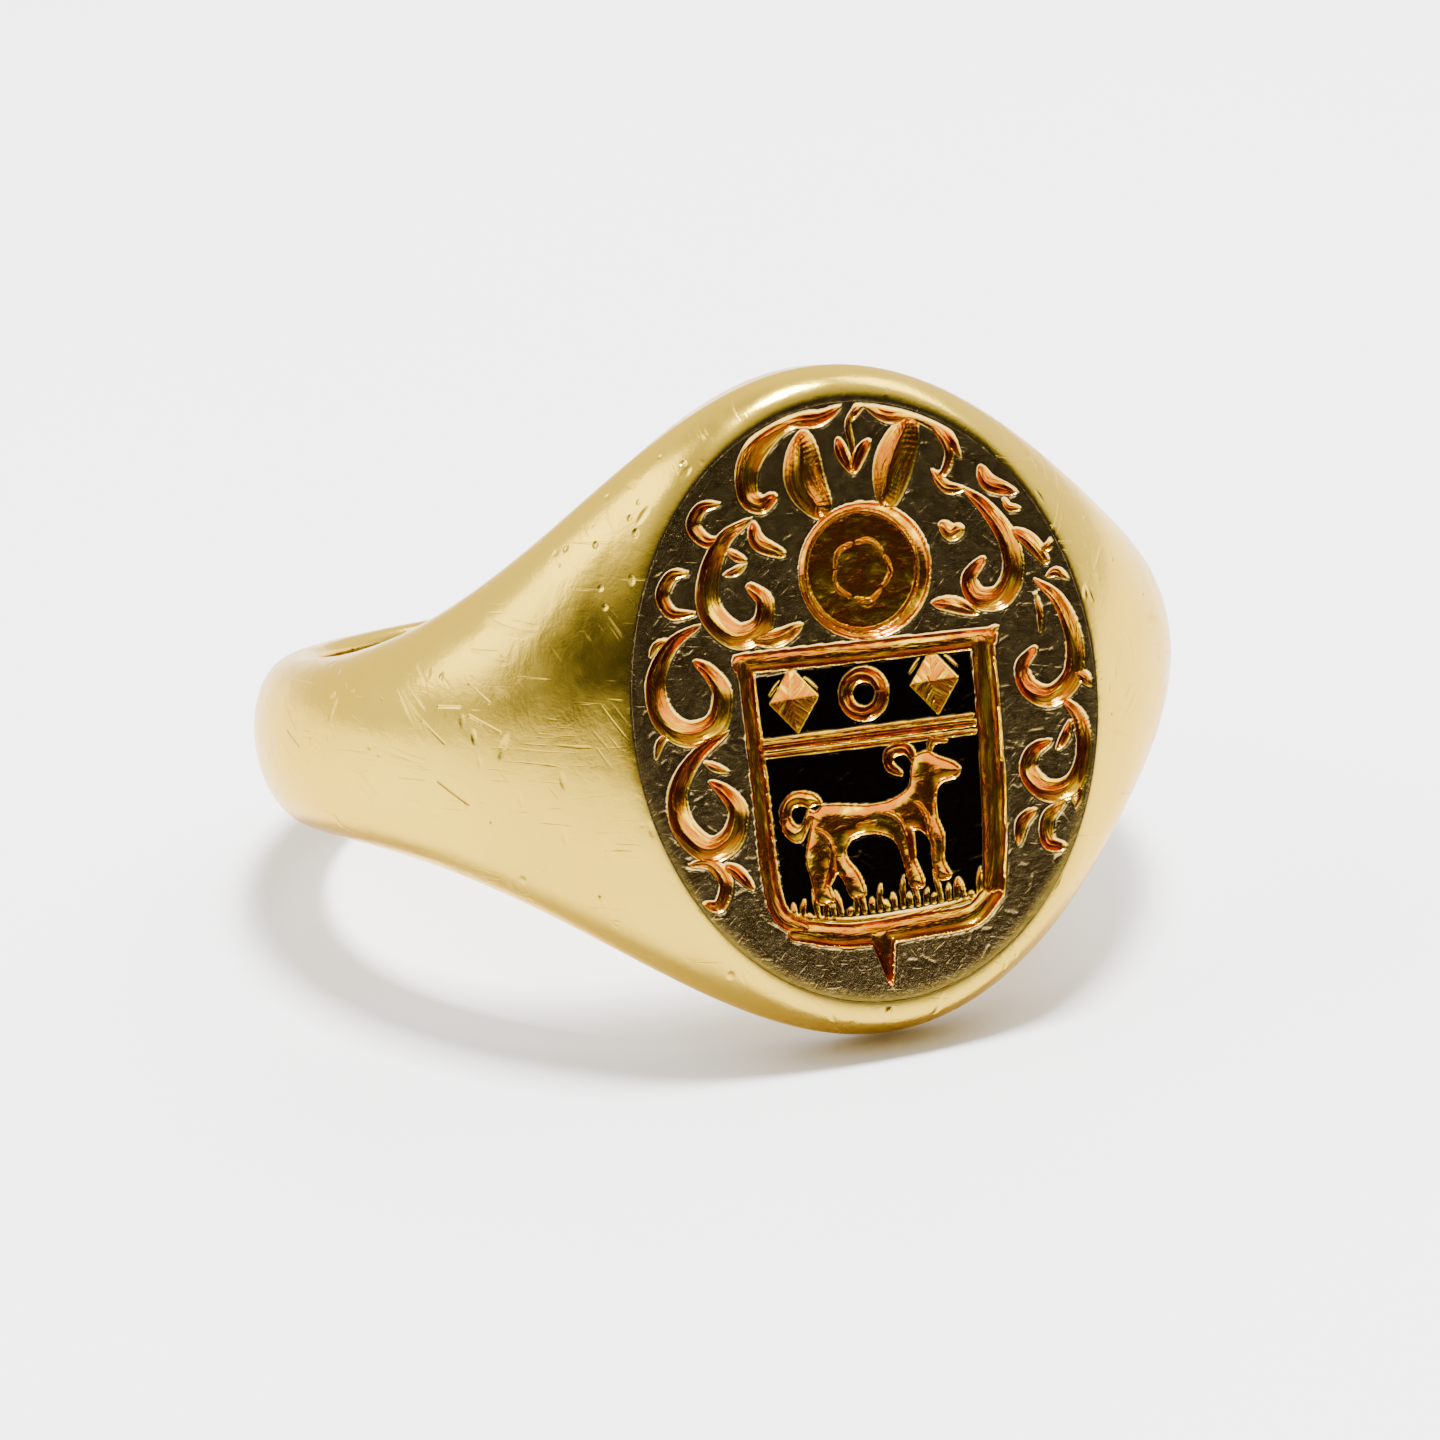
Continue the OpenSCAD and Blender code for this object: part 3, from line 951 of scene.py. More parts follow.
def inside_shape(spots: np.ndarray, line: np.ndarray) -> np.ndarray:
    """Are points inside a closed line?"""
    within = np.zeros(len(spots), bool)
    for a, b in zip(line[:-1], line[1:]):
        if a[1] == b[1]:
            continue
        spans = (spots[:, 1] < a[1]) != (spots[:, 1] < b[1])
        x = a[0] + (spots[:, 1] - a[1]) * (b[0] - a[0]) / (b[1] - a[1])
        within ^= spans & (spots[:, 0] < x)
    return within


@dataclass
class Shield:
    """The shield with its grooved border, lined upper field, charges, hound and grass."""

    left: float = -2.86
    right: float = 2.98
    top: float = 1.22
    low: float = -5.2
    bar: float = -0.72

    def border(self) -> list[Stroke]:
        """The border's broad grooves and the fine lines beside them."""
        left, right, top, low = self.left, self.right, self.top, self.low
        side = dict(start=0.9, end=0.9, flat=True)
        return [
            Stroke(((left - 0.1, top + 0.12), (-0.1, top - 0.04), (right + 0.22, top - 0.2)),
                   0.48, 0.22, **side),
            Stroke(((left, top + 0.1), (left - 0.02, -1.5), (left - 0.06, -3.6), (left + 0.12, -4.55),
                    (left + 0.75, -5.0)), 0.42, 0.24, **side),
            Stroke(((right + 0.06, top - 0.3), (right - 0.06, -1.6), (right - 0.24, -3.6),
                    (right - 0.42, -4.75)), 0.62, 0.26, **side),
            Stroke(((left + 0.45, -4.95), (-1.1, low - 0.08), (0.6, low - 0.12), (1.9, low - 0.1),
                    (right - 0.42, -4.85)), 0.56, 0.24, **side),
            Stroke(((left - 0.25, top + 0.32), (left - 0.1, top + 0.1), (left - 0.12, top - 0.3)), 0.2, 0.12),
            Stroke(((right + 0.5, top + 0.02), (right + 0.25, top - 0.1), (right + 0.3, top - 0.5)),
                   0.2, 0.12),
            Stroke(((-1.2, -5.22), (-0.75, -5.32), (-0.5, -5.62)), 0.24, 0.16, start=0.1, end=0.3),
            Stroke(((0.3, -5.3), (-0.02, -5.38), (-0.2, -5.66)), 0.22, 0.16, start=0.1, end=0.3),
            Stroke(((left + 0.4, -4.6), (-1.0, -4.93), (0.9, -5.0), (right - 0.75, -4.9)), 0.1, 0.1, **side),
        ]

    def bars(self) -> list[Stroke]:
        """The double line under the upper field."""
        start, end = self.left + 0.18, self.right - 0.42
        lines = []
        for k, (drop, width, deep) in enumerate(((0.15, 0.12, 0.2), (0.0, 0.2, 0.22), (-0.19, 0.14, 0.2))):
            fall = 0.2 + 0.02 * k
            y = self.bar + drop + 0.06
            lines.append(Stroke(((start, y), (end, y - fall)), width, deep, start=0.85, end=0.85,
                                straight=True))
        return lines

    def point(self) -> np.ndarray:
        """Outline of the spike under the shield."""
        return through(((-0.98, -5.2), (-0.64, -5.58), (-0.28, -6.6), (-0.02, -5.54), (0.24, -5.2)), True, 6)

    def hound(self) -> np.ndarray:
        """Outline of a plain long-tailed hound that walks to the right."""
        return through((
            (-1.72, -2.5), (-2.05, -2.95), (-2.42, -2.72), (-2.48, -2.15), (-2.12, -1.78), (-1.62, -1.86),
            (-1.42, -2.12), (-1.62, -2.3), (-1.88, -2.12), (-2.14, -2.14), (-2.2, -2.42), (-2.0, -2.56),
            (-1.7, -2.18), (-1.1, -2.2), (-0.3, -2.34), (0.3, -2.32), (0.75, -2.1), (0.86, -1.72),
            (1.0, -1.42), (1.32, -1.34), (1.56, -1.5), (1.95, -1.7), (2.1, -1.88), (1.98, -2.06),
            (1.58, -2.14), (1.42, -2.42), (1.38, -2.9), (1.5, -3.4), (1.42, -3.95), (1.55, -4.32),
            (1.2, -4.34), (1.1, -3.9), (1.12, -3.42), (0.88, -3.12), (0.62, -3.2), (0.7, -3.75),
            (0.86, -4.4), (0.5, -4.42), (0.4, -3.85), (0.22, -3.25), (-0.3, -3.02), (-0.82, -3.1),
            (-0.98, -3.45), (-0.72, -3.9), (-0.62, -4.4), (-1.0, -4.4), (-1.16, -3.95), (-1.42, -3.62),
            (-1.5, -3.95), (-1.42, -4.42), (-1.82, -4.42), (-1.92, -3.9), (-1.98, -3.3)), True, 4)

    def hound_lines(self) -> list[Stroke]:
        """Muscle, ear and rib lines within the hound."""
        return [
            Stroke(((-1.75, -2.6), (-1.3, -3.0), (-1.28, -3.5), (-1.62, -4.2)), 0.3, 0.27),
            Stroke(((-0.3, -2.55), (0.35, -2.7), (0.62, -3.2), (0.62, -4.2)), 0.26, 0.26),
            Stroke(((0.75, -2.3), (1.1, -2.7), (1.22, -3.3), (1.28, -4.1)), 0.26, 0.26),
            Stroke(((1.0, -1.55), (0.82, -1.22), (0.42, -1.24), (0.36, -1.55), (0.62, -1.78)), 0.3, 0.2,
                   start=0.5, end=0.3),
            Stroke(((1.35, -1.45), (1.5, -1.12), (1.86, -1.2)), 0.22, 0.16),
            Stroke(((-1.2, -2.45), (-0.3, -2.55), (0.5, -2.42)), 0.16, 0.25),
            Stroke(((-0.9, -2.85), (-0.3, -2.78), (0.25, -2.9)), 0.2, 0.26),
            Stroke(((1.15, -1.75), (1.55, -1.85), (1.95, -1.86)), 0.2, 0.25),
        ]

    def grass(self) -> list[Stroke]:
        """Blades along the foot of the field."""
        blades = []
        for i in range(26):
            x = self.left + 0.42 + i * 0.192
            foot = -4.72 - 0.006 * i
            tall = 0.42 + 0.24 * math.sin(i * 2.4) + 0.12 * math.sin(i * 5.1)
            lean = 0.10 * math.sin(i * 1.9)
            blades.append(Stroke(((x, foot), (x + lean * 0.4, foot + tall * 0.5), (x + lean, foot + tall)),
                                 0.15, 0.15, start=0.9, end=0.1))
        return blades

    def carve(self, relief: Relief) -> None:
        """Cuts the whole shield into the face."""
        at = relief.at
        inside = (at[:, 0] > self.left + 0.2) & (at[:, 0] < self.right - 0.3)
        inside &= (at[:, 1] < self.top - 0.25) & (at[:, 1] > self.low + 0.35)
        relief.field[inside] = 1.0
        for s in self.grass() + self.border() + self.bars():
            relief.cut(s)
        for x in (-1.78, 1.72):
            middle = (x, 0.26 - 0.03 * x)
            relief.facet(middle, (0.62, 0.78), 0.26)
            for turn in (-1, 1):
                relief.cut(Stroke(((x - 0.3 * turn, 0.26 + 0.55), (x - 0.62 * turn, 0.26 + 0.2)), 0.1, 0.09))
        relief.cut(Stroke(circle((-0.06, 0.2), 0.46, 8), 0.36, 0.22, start=1, end=1, closed=True))
        relief.sink_shape(self.hound(), 0.19, 0.3)
        relief.sink_shape(self.point(), 0.26, 0.3)
        for s in self.hound_lines():
            relief.cut(s)


@dataclass
class Crest:
    """The round boss over the shield with its two leaves and the small bud between them."""

    middle: tuple[float, float] = (0.36, 3.0)
    radius: float = 1.58

    def leaves(self) -> list[Stroke]:
        """Two tall leaves with their veins, and the bud on its stem."""
        strokes = [
            Stroke(((-0.52, 4.55), (-0.84, 5.3), (-0.72, 6.35)), 1.02, 0.22, start=0.5, end=0.05),
            Stroke(((1.12, 4.55), (1.42, 5.4), (1.98, 6.3)), 1.0, 0.22, start=0.5, end=0.12),
        ]
        for base, tip in (((-0.6, 4.7), (-0.74, 6.15)), ((1.2, 4.75), (1.82, 6.1))):
            for shift in (-0.2, 0.02, 0.22):
                strokes.append(Stroke(((base[0] + shift, base[1]), (tip[0] + shift * 0.4, tip[1])), 0.1, 0.26,
                                      straight=True))
        strokes += [
            Stroke(((0.1, 6.1), (0.16, 5.75), (0.36, 5.3)), 0.3, 0.2, start=0.2, end=0.4),
            Stroke(((0.86, 5.95), (0.62, 5.7), (0.4, 5.3)), 0.3, 0.2, start=0.2, end=0.4),
            Stroke(((0.38, 5.45), (0.42, 5.9), (0.4, 6.4), (0.6, 6.75)), 0.17, 0.16),
        ]
        return strokes

    def carve(self, relief: Relief) -> None:
        """Cuts the crest into the face."""
        turn = np.linspace(0, 2 * math.pi, 73)[:-1]
        disc = np.stack([np.cos(turn) * self.radius * 1.04, np.sin(turn) * self.radius], -1) + self.middle
        relief.sink_shape(disc, 0.24, 0.32)
        groove = circle(self.middle, self.radius - 0.2, 12)
        relief.cut(Stroke(groove, 0.26, 0.31, start=1, end=1, closed=True))
        for k in range(5):
            a = 1.1 + k * 2 * math.pi / 5
            c, s = math.cos(a), math.sin(a)
            x, y = self.middle[0] + 0.52 * c, self.middle[1] + 0.52 * s
            petal = ((x - 0.42 * s, y + 0.42 * c), (x + 0.2 * c, y + 0.2 * s), (x + 0.42 * s, y - 0.42 * c))
            relief.cut(Stroke(petal, 0.34, 0.30, start=0.3, end=0.3))
        for s in self.leaves():
            relief.cut(s)


@dataclass
class Foliage:
    """Scrolls and leaves round the shield and the crest."""

    broad: float = 0.56

    def left(self) -> list[Stroke]:
        """Scrolls on the left."""
        w = self.broad
        return [
            Stroke(((0.32, 6.86), (-0.3, 6.62), (-1.0, 6.72), (-1.62, 6.42), (-2.16, 5.8), (-2.26, 5.12),
                    (-1.98, 4.86), (-1.66, 4.98)), w * 1.05, 0.22, start=0.1, end=0.35),
            Stroke(((-2.98, 5.02), (-3.44, 4.98), (-3.68, 4.6), (-3.4, 4.22), (-2.98, 4.2)), w * 0.62, 0.17),
            Stroke(((-2.26, 4.58), (-2.98, 4.2), (-3.46, 3.4), (-3.52, 2.6), (-2.98, 1.98), (-2.36, 2.1),
                    (-2.18, 2.64), (-2.5, 3.04)), w * 1.1, 0.23, start=0.05, end=0.3),
            Stroke(((-2.96, 3.96), (-2.74, 3.78), (-2.5, 3.64)), w * 0.36, 0.14),
            Stroke(((-3.1, 3.4), (-2.8, 3.44), (-2.52, 3.56)), w * 0.36, 0.14),
            Stroke(((-2.24, 4.5), (-2.16, 4.02), (-1.62, 3.68)), w * 0.66, 0.18, start=0.1, end=0.5),
            Stroke(((-3.96, 3.58), (-4.36, 3.56), (-4.64, 3.16), (-4.46, 2.72), (-3.92, 2.64)),
                   w * 0.58, 0.17),
            Stroke(((-2.62, 1.84), (-1.98, 1.78), (-1.36, 2.0)), w * 0.72, 0.18),
            Stroke(((-3.82, 2.36), (-4.58, 2.0), (-5.06, 1.24), (-5.0, 0.42), (-4.46, -0.06), (-3.76, 0.06),
                    (-3.5, 0.7), (-3.72, 1.22), (-4.06, 1.56)), w * 1.08, 0.23, start=0.05, end=0.12),
            Stroke(((-5.12, 1.82), (-4.9, 2.06), (-4.56, 2.12)), w * 0.34, 0.14),
            Stroke(((-5.3, -0.5), (-5.14, -0.16), (-4.92, 0.0)), w * 0.34, 0.14),
            Stroke(((-3.48, -0.16), (-4.3, -0.58), (-4.86, -1.3), (-4.86, -2.12), (-4.34, -2.74),
                    (-3.74, -2.6), (-3.48, -2.04), (-3.7, -1.56), (-4.06, -1.22)), w * 1.08, 0.23,
                   start=0.05, end=0.12),
            Stroke(((-4.14, -0.76), (-3.9, -0.92), (-3.6, -1.06)), w * 0.34, 0.14),
            Stroke(((-4.84, -3.02), (-4.3, -3.1), (-4.0, -3.58), (-4.22, -4.06), (-4.56, -4.0)),
                   w * 0.6, 0.18, start=0.05, end=0.5),
            Stroke(((-3.92, -3.2), (-3.66, -3.4), (-3.34, -3.84)), w * 0.5, 0.16, start=0.5, end=0.1),
        ]

    def right(self) -> list[Stroke]:
        """Scrolls on the right."""
        w = self.broad
        return [
            Stroke(((0.5, 6.5), (0.86, 6.86), (1.4, 6.5), (2.1, 6.42), (2.74, 5.92), (3.06, 5.28)),
                   w * 0.8, 0.2),
            Stroke(((1.62, 6.36), (2.36, 6.2), (2.8, 5.5), (2.62, 4.98), (2.36, 4.98)), w * 0.42, 0.15),
            Stroke(((2.32, 5.06), (2.62, 4.62), (3.06, 4.52)), w * 0.5, 0.16),
            Stroke(((3.52, 4.98), (3.7, 4.56), (4.36, 4.26)), w * 0.72, 0.18),
            Stroke(((4.02, 4.12), (4.12, 3.94), (4.34, 3.88)), w * 0.34, 0.14, start=0.6, end=0.6),
            Stroke(((2.4, 3.78), (2.6, 3.56), (2.8, 3.6)), w * 0.7, 0.16, start=0.4, end=0.7),
            Stroke(((3.06, 4.52), (3.56, 3.98), (3.98, 3.2), (4.02, 2.42), (3.62, 1.92), (3.06, 1.98),
                    (2.9, 2.46), (3.3, 2.84)), w * 1.02, 0.23, start=0.1, end=0.25),
            Stroke(((4.14, 3.42), (4.56, 3.06), (4.86, 2.6)), w * 0.66, 0.18, start=0.1, end=0.6),
            Stroke(((4.72, 2.86), (4.98, 2.9), (5.14, 3.16)), w * 0.34, 0.14, start=0.5, end=0.5),
            Stroke(((4.84, 2.2), (5.12, 2.28), (5.42, 2.04)), w * 0.4, 0.14),
            Stroke(((1.92, 2.02), (2.44, 1.9), (3.02, 1.62)), w * 0.66, 0.18),
            Stroke(((4.52, 2.2), (5.06, 1.62), (5.34, 0.66), (5.18, -0.18), (4.58, -0.56), (4.06, -0.3),
                    (3.94, 0.22), (4.3, 0.58)), w * 0.94, 0.23, start=0.05, end=0.3),
            Stroke(((4.5, 1.9), (4.56, 1.4), (4.5, 0.94)), w * 0.3, 0.13),
            Stroke(((5.2, -0.06), (5.46, -0.24), (5.66, -0.5)), w * 0.5, 0.15),
            Stroke(((4.92, -0.72), (5.24, -1.24), (5.22, -2.14), (4.8, -2.72), (4.16, -2.72), (3.78, -2.24),
                    (3.94, -1.78), (4.4, -1.6)), w * 0.94, 0.23, start=0.2, end=0.2),
            Stroke(((4.98, -1.2), (4.8, -1.56), (4.56, -1.82)), w * 0.42, 0.15),
            Stroke(((3.84, -3.12), (3.46, -3.36), (3.3, -3.86)), w * 0.56, 0.17),
            Stroke(((4.6, -3.06), (4.12, -3.36), (4.06, -3.92), (4.44, -4.12)), w * 0.66, 0.19,
                   start=0.1, end=0.4),
            Stroke(((4.98, -2.62), (5.02, -2.96), (4.84, -3.26)), w * 0.34, 0.13),
        ]

    def feathers(self) -> list[Stroke]:
        """Short nicks along the outside of the lower right scroll."""
        nicks = []
        for i in range(9):
            a = 0.75 - i * 0.24
            c, s = math.cos(a), math.sin(a)
            x, y = 4.52 + 0.62 * c, -1.95 + 1.0 * s
            nicks.append(Stroke(((x, y), (x + 0.3 * c, y + 0.3 * s - 0.1)), 0.1, 0.12, straight=True))
        return nicks

    def carve(self, relief: Relief) -> None:
        """Cuts the scrolls into the face."""
        for s in self.left() + self.right() + self.feathers():
            relief.cut(s)


@dataclass
class SealTable:
    """The engraved oval plate."""

    node: str = "seal_table"
    cells: tuple[int, int] = (330, 398)
    inset: float = 0.04
    rim_drop: float = 0.80
    rim_points: int = 22
    rim_cut: int = 2
    seed: int = 7
    full_cut: float = 0.22
    least_cut: float = 0.03

    @property
    def half_axes(self) -> tuple[float, float]:
        """Half the width and half the length of the flat face, inside its rounded rim."""
        return FORM.face_w / 2 - self.inset, FORM.face_l / 2 - self.inset

    @staticmethod
    def inward(at: np.ndarray) -> np.ndarray:
        """How far in points of the face lie, from 0 at the oval's edge to 1 in its middle."""
        return 1 - np.hypot(at[:, 0] / (FORM.face_w / 2), at[:, 1] / (FORM.face_l / 2))

    def grid(self) -> tuple[np.ndarray, np.ndarray]:
        """Points of the flat face and the numbers of those on its rim, in order."""
        nu, nv = self.cells
        u, v = np.meshgrid(np.linspace(-1, 1, nu + 1), np.linspace(-1, 1, nv + 1), indexing="xy")
        a, b = self.half_axes
        at = np.stack([a * u * np.sqrt(1 - v**2 / 2), b * v * np.sqrt(1 - u**2 / 2)], -1).reshape(-1, 2)
        number = np.arange(len(at)).reshape(nv + 1, nu + 1)
        rim = np.concatenate([number[0, :-1], number[:-1, -1], number[-1, :0:-1], number[:0:-1, 0]])
        return at, rim

    def hairlines(self, relief: Relief, count: int = 420) -> None:
        """Random short scratches on the ground of the face."""
        rng = np.random.default_rng(self.seed)
        for _ in range(count):
            x, y = rng.uniform(-5.6, 5.6), rng.uniform(-6.8, 6.8)
            turn, long = rng.uniform(0, math.pi), rng.uniform(0.12, 0.38)
            line = np.array(((x, y), (x + math.cos(turn) * long, y + math.sin(turn) * long)))
            index = relief.near(line, 0.08)
            past, _, _, _ = relief.measure(relief.at[index], line, np.array((0.012, 0.004)))
            groove = -0.006 * np.exp(-((past / 0.035) ** 2))
            relief.burr[index] += np.where(relief.depth[index] < 0.01, groove, 0)

    def build(self, finish: bpy.types.Material, rim_finish: bpy.types.Material) -> bpy.types.Object:
        """Makes the plate with its engraving.

        Args:
            finish: The material of its face.
            rim_finish: The material of its rim and side.

        Returns:
            The finished object.
        """
        at, rim = self.grid()
        relief = Relief(at)
        Foliage().carve(relief)
        Crest().carve(relief)
        Shield().carve(relief)
        self.hairlines(relief)
        calm = np.clip(self.inward(at) / 0.03 - 0.6, 0, 1)
        sunk = (relief.depth - np.where(relief.depth > self.least_cut, 0, relief.burr)) * calm
        face = np.stack([at[:, 0], sunk - FORM.face_plane, at[:, 1]], -1)
        nu, nv = self.cells
        number = np.arange(len(at)).reshape(nv + 1, nu + 1)
        corners = (number[:-1, :-1], number[:-1, 1:], number[1:, 1:], number[1:, :-1])
        faces = [tuple(q) for q in np.stack(corners, -1).reshape(-1, 4).tolist()]
        a, b = self.half_axes
        turn = np.arctan2(at[rim, 1] / b, at[rim, 0] / a)
        rows = self.rim_rows(at[rim], turn)
        points, before = [face], rim
        for row in rows:
            now = np.arange(len(rim)) + sum(len(p) for p in points)
            points.append(row)
            for j in range(len(rim)):
                k = (j + 1) % len(rim)
                faces.append((int(before[j]), int(before[k]), int(now[k]), int(now[j])))
            before = now
        faces.append(tuple(int(i) for i in before))
        piece = make_piece(self.node + "_metal", np.concatenate(points), faces)
        self.record(piece.data, relief, calm, rim)
        crisp_rows(piece.data, set(int(i) for i in before))
        seat(piece, self.node, Slot.ENGRAVED, finish)
        piece.data.materials.append(rim_finish)
        on_face = nu * nv + self.rim_cut * len(rim)
        slots = [int(i >= on_face) for i in range(len(piece.data.polygons))]
        piece.data.polygons.foreach_set("material_index", slots)
        return piece

    def rim_rows(self, inner: np.ndarray, turn: np.ndarray) -> list[np.ndarray]:
        """Rows of points over the face's worn, rounded rim and down the plate's side."""
        low = FORM.face_plane - self.rim_drop
        side = FORM.outline(low, turn)
        fall = (FORM.outline(low - 0.02, turn) - side) / 0.02
        edge = side - fall * self.rim_drop
        rows = []
        hold = 2 / 3 + 0.2 * np.clip(-np.sin(turn), 0, 1)[:, None] ** 2
        first = inner + (edge - inner) * hold
        second = side + (edge - side) * hold
        sunk = self.rim_drop * (1 - hold[:, 0])
        for t in np.linspace(0, 1, self.rim_points + 1)[1:]:
            p = (1 - t) ** 3 * inner + 3 * t * (1 - t) ** 2 * first
            p = p + 3 * t**2 * (1 - t) * second + t**3 * side
            y = -FORM.face_plane + 3 * t**2 * (1 - t) * sunk + t**3 * self.rim_drop
            rows.append(np.stack([p[:, 0], y, p[:, 1]], -1))
        bottom = FORM.face_plane - FORM.plate
        for depth in (bottom + 0.006, bottom):
            p = FORM.outline(depth, turn)
            rows.append(np.stack([p[:, 0], np.full(len(p), -depth), p[:, 1]], -1))
        return rows

    def record(self, mesh: bpy.types.Mesh, relief: Relief, calm: np.ndarray, rim: np.ndarray) -> None:
        """Keeps on the mesh what was cut where, for its finish."""
        total, flat = len(mesh.vertices), len(relief.at)

        def keep(name: str, kind: str, values: np.ndarray, rest: float) -> None:
            """Writes one quantity, with the rest value off the flat face."""
            full = np.full((total, *values.shape[1:]), rest, np.float32)
            full[:len(values)] = values
            prop = "vector" if kind == "FLOAT_VECTOR" else "value"
            mesh.attributes.new(name, kind, "POINT").data.foreach_set(prop, full.ravel())

        foot = np.clip(0.1 - relief.at[:, 1] / (FORM.face_l / 2), 0, 0.8)
        worn = np.clip(1 - self.inward(relief.at) / 0.05, 0, 1) * foot
        fading = (1 - np.linspace(0, 1, self.rim_points + 1)[1:, None]) * worn[rim]
        keep("worn", "FLOAT", np.concatenate([worn, fading.ravel()]), 0.0)
        keep("cut", "FLOAT", relief.depth / self.full_cut * calm, 0.0)
        keep("field", "FLOAT", relief.field, 0.0)
        keep("side", "FLOAT", np.zeros(flat), 1.0)
        keep("graver", "FLOAT_VECTOR", relief.graver, 0.0)
        keep("face", "FLOAT_VECTOR", np.concatenate([relief.at, np.zeros((flat, 1))], 1), 0.0)


def crisp_rows(mesh: bpy.types.Mesh, row: set[int]) -> None:
    """Keeps only the edges of one row of points sharp."""
    for edge in mesh.edges:
        a, b = edge.vertices
        edge.use_edge_sharp = a in row and b in row
    mesh.update()


# ---------------------------------------------------------------- studio


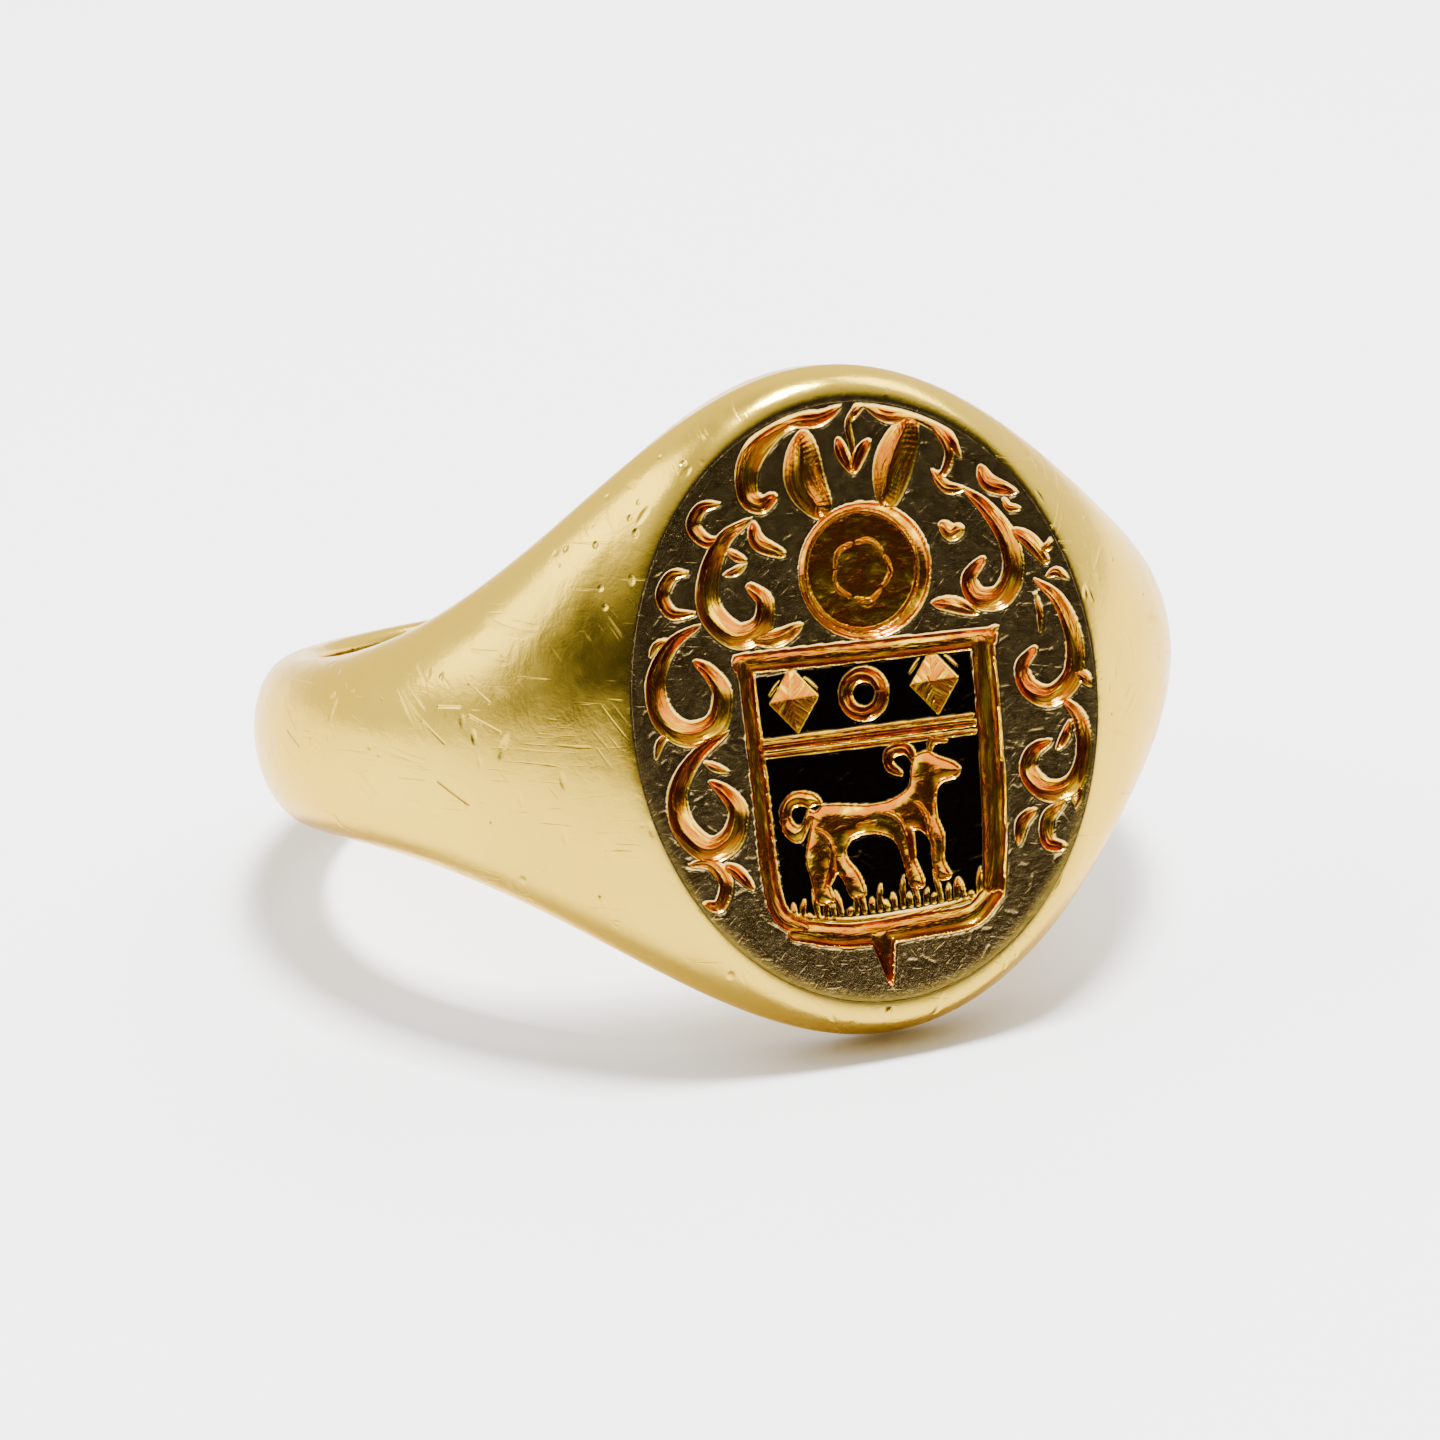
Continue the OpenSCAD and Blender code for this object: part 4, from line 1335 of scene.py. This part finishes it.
@dataclass
class Studio:
    """Pale table, soft light from a bright surround with one dark side, and the camera."""

    azimuth: float = -21.6
    elevation: float = 21.7
    roll: float = -1.07
    distance: float = 150.0
    lens: float = 151.5
    aim: tuple[float, float] = (0.569, -0.926)
    dark_azimuth: float = -2.0
    room: float = 0.04
    sky: float = 2.2
    front_sky: float = 0.6
    zenith: float = 1.2
    wall: float = 2.3
    table_half: float = 1.5
    lamp_away: float = 0.45

    @staticmethod
    def towards(azimuth: float, elevation: float) -> Vector:
        """Direction from the ring to a place round it; azimuth 0 is in front, 90 on its right."""
        a, e = math.radians(azimuth), math.radians(elevation)
        return Vector((math.sin(a) * math.cos(e), -math.cos(a) * math.cos(e), math.sin(e)))

    def camera(self) -> bpy.types.Object:
        """Makes the camera and sets it as the scene's."""
        out = self.towards(self.azimuth, self.elevation)
        right = Vector((-out.y, out.x, 0)).normalized()
        up = out.cross(right)
        y0, z0 = FORM.centre
        place = Vector((0, y0, z0)) + right * self.aim[0] + up * self.aim[1] + out * self.distance
        basis = Matrix((right, up, out)).transposed().to_4x4()
        data = bpy.data.cameras.new("camera")
        data.lens = self.lens
        data.sensor_width = 36
        data.clip_start = 0.005
        obj = bpy.data.objects.new("camera", data)
        turn = Matrix.Rotation(math.radians(self.roll), 4, "Z")
        obj.matrix_world = Matrix.Translation(place * MM) @ basis @ turn
        bpy.context.scene.collection.objects.link(obj)
        bpy.context.scene.camera = obj
        return obj

    def table(self) -> bpy.types.Object:
        """Makes the table that the ring lies on."""
        mesh = bpy.data.meshes.new("table")
        half = self.table_half
        corners = [(-half, -half, 0), (half, -half, 0), (half, half, 0), (-half, half, 0)]
        mesh.from_pydata(corners, [], [(0, 1, 2, 3)])
        obj = bpy.data.objects.new("table", mesh)
        mesh.materials.append(PaleTable().build())
        bpy.context.scene.collection.objects.link(obj)
        return obj

    def surround(self) -> None:
        """Lights the scene from all round: bright above and behind, with a dark room low in front."""
        world = bpy.data.worlds.new("surround")
        world.use_nodes = True
        bpy.context.scene.world = world
        n = Nodes(world.node_tree)
        way = n.add("TexCoord").outputs["Generated"]
        split = n.add("SeparateXYZ", Vector=way)
        height = split.outputs[2]
        flat = n.add("CombineXYZ", X=split.outputs[0], Y=split.outputs[1], Z=0.0).outputs[0]
        flat = n.add("VectorMath", operation="NORMALIZE", in_0=flat).outputs[0]
        ahead = tuple(self.towards(self.dark_azimuth, 0))
        front = n.add("VectorMath", operation="DOT_PRODUCT", in_0=flat, in_1=ahead).outputs["Value"]
        aside = n.math("MULTIPLY", split.outputs[0], -1.0)
        low_front = n.math("MULTIPLY", n.ramp(front, -0.44, 0.40), n.ramp(height, 0.48, 0.76, 1.0, 0.0))
        high = n.ramp(front, 0.0, 0.75, self.sky, self.front_sky)
        high = n.ramp(height, 0.60, 0.95, high, self.zenith)
        light = n.math("ADD", self.room, n.math("MULTIPLY", n.math("SUBTRACT", 1.0, low_front), high))
        wall = n.math("MULTIPLY", n.ramp(aside, 0.70, 0.92), n.ramp(height, 0.06, 0.14, self.wall, 0.0))
        light = n.math("MAXIMUM", light, wall)
        back = n.add("Background", Color=(1.0, 1.0, 1.01, 1), Strength=light)
        n.add("OutputWorld", Surface=back.outputs[0])

    def lamp(self, name: str, azimuth: float, elevation: float, wide: float, high: float,
             watts: float) -> None:
        """Adds a soft box lamp that looks at the ring."""
        data = bpy.data.lights.new(name, "AREA")
        data.shape = "RECTANGLE"
        data.size, data.size_y = wide, high
        data.energy = watts
        obj = bpy.data.objects.new(name, data)
        out = self.towards(azimuth, elevation)
        obj.location = out * self.lamp_away
        obj.rotation_euler = out.to_track_quat("Z", "Y").to_euler()
        bpy.context.scene.collection.objects.link(obj)

    def build(self) -> None:
        """Sets up camera, table and light."""
        self.camera()
        self.table()
        self.surround()
        self.lamp("top_lamp", 118, 82, 0.11, 0.11, 8.4)
        self.lamp("right_lamp", 112, 46, 0.20, 0.20, 1.0)
        self.lamp("left_lamp", -112, 46, 0.20, 0.20, 0.7)
        self.lamp("side_lamp", -106, 24, 0.20, 0.14, 0.4)


def main() -> None:
    """Builds the ring piece by piece and reports each one."""
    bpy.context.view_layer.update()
    Studio().build()
    polish = WornPolish().build()
    film = FORM.film_deg
    joint, back = FORM.head_joint, FORM.back_joint
    SealTable().build(CutGold().build(), polish)
    TableFilm().build(polish)
    HeadSaddle("head_saddle", -joint, joint).build(polish)
    for side, sign in (("left", -1), ("right", 1)):
        for node, near, far, slot in (
            (f"{side}_shoulder_solder", joint, joint + film, Slot.SOLDER),
            (f"{side}_shoulder", joint + film, back, Slot.POLISHED),
            (f"{side}_shank_solder", back, back + film, Slot.SOLDER),
        ):
            low, high = sorted((sign * near, sign * far))
            BandPiece(node, low, high, slot).build(polish)
    BandPiece("shank_back", back + film, 360 - back - film).build(polish)
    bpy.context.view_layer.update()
    log.info("lean %.2f degrees", math.degrees(FORM.tilt))


if __name__ == "__main__":
    main()
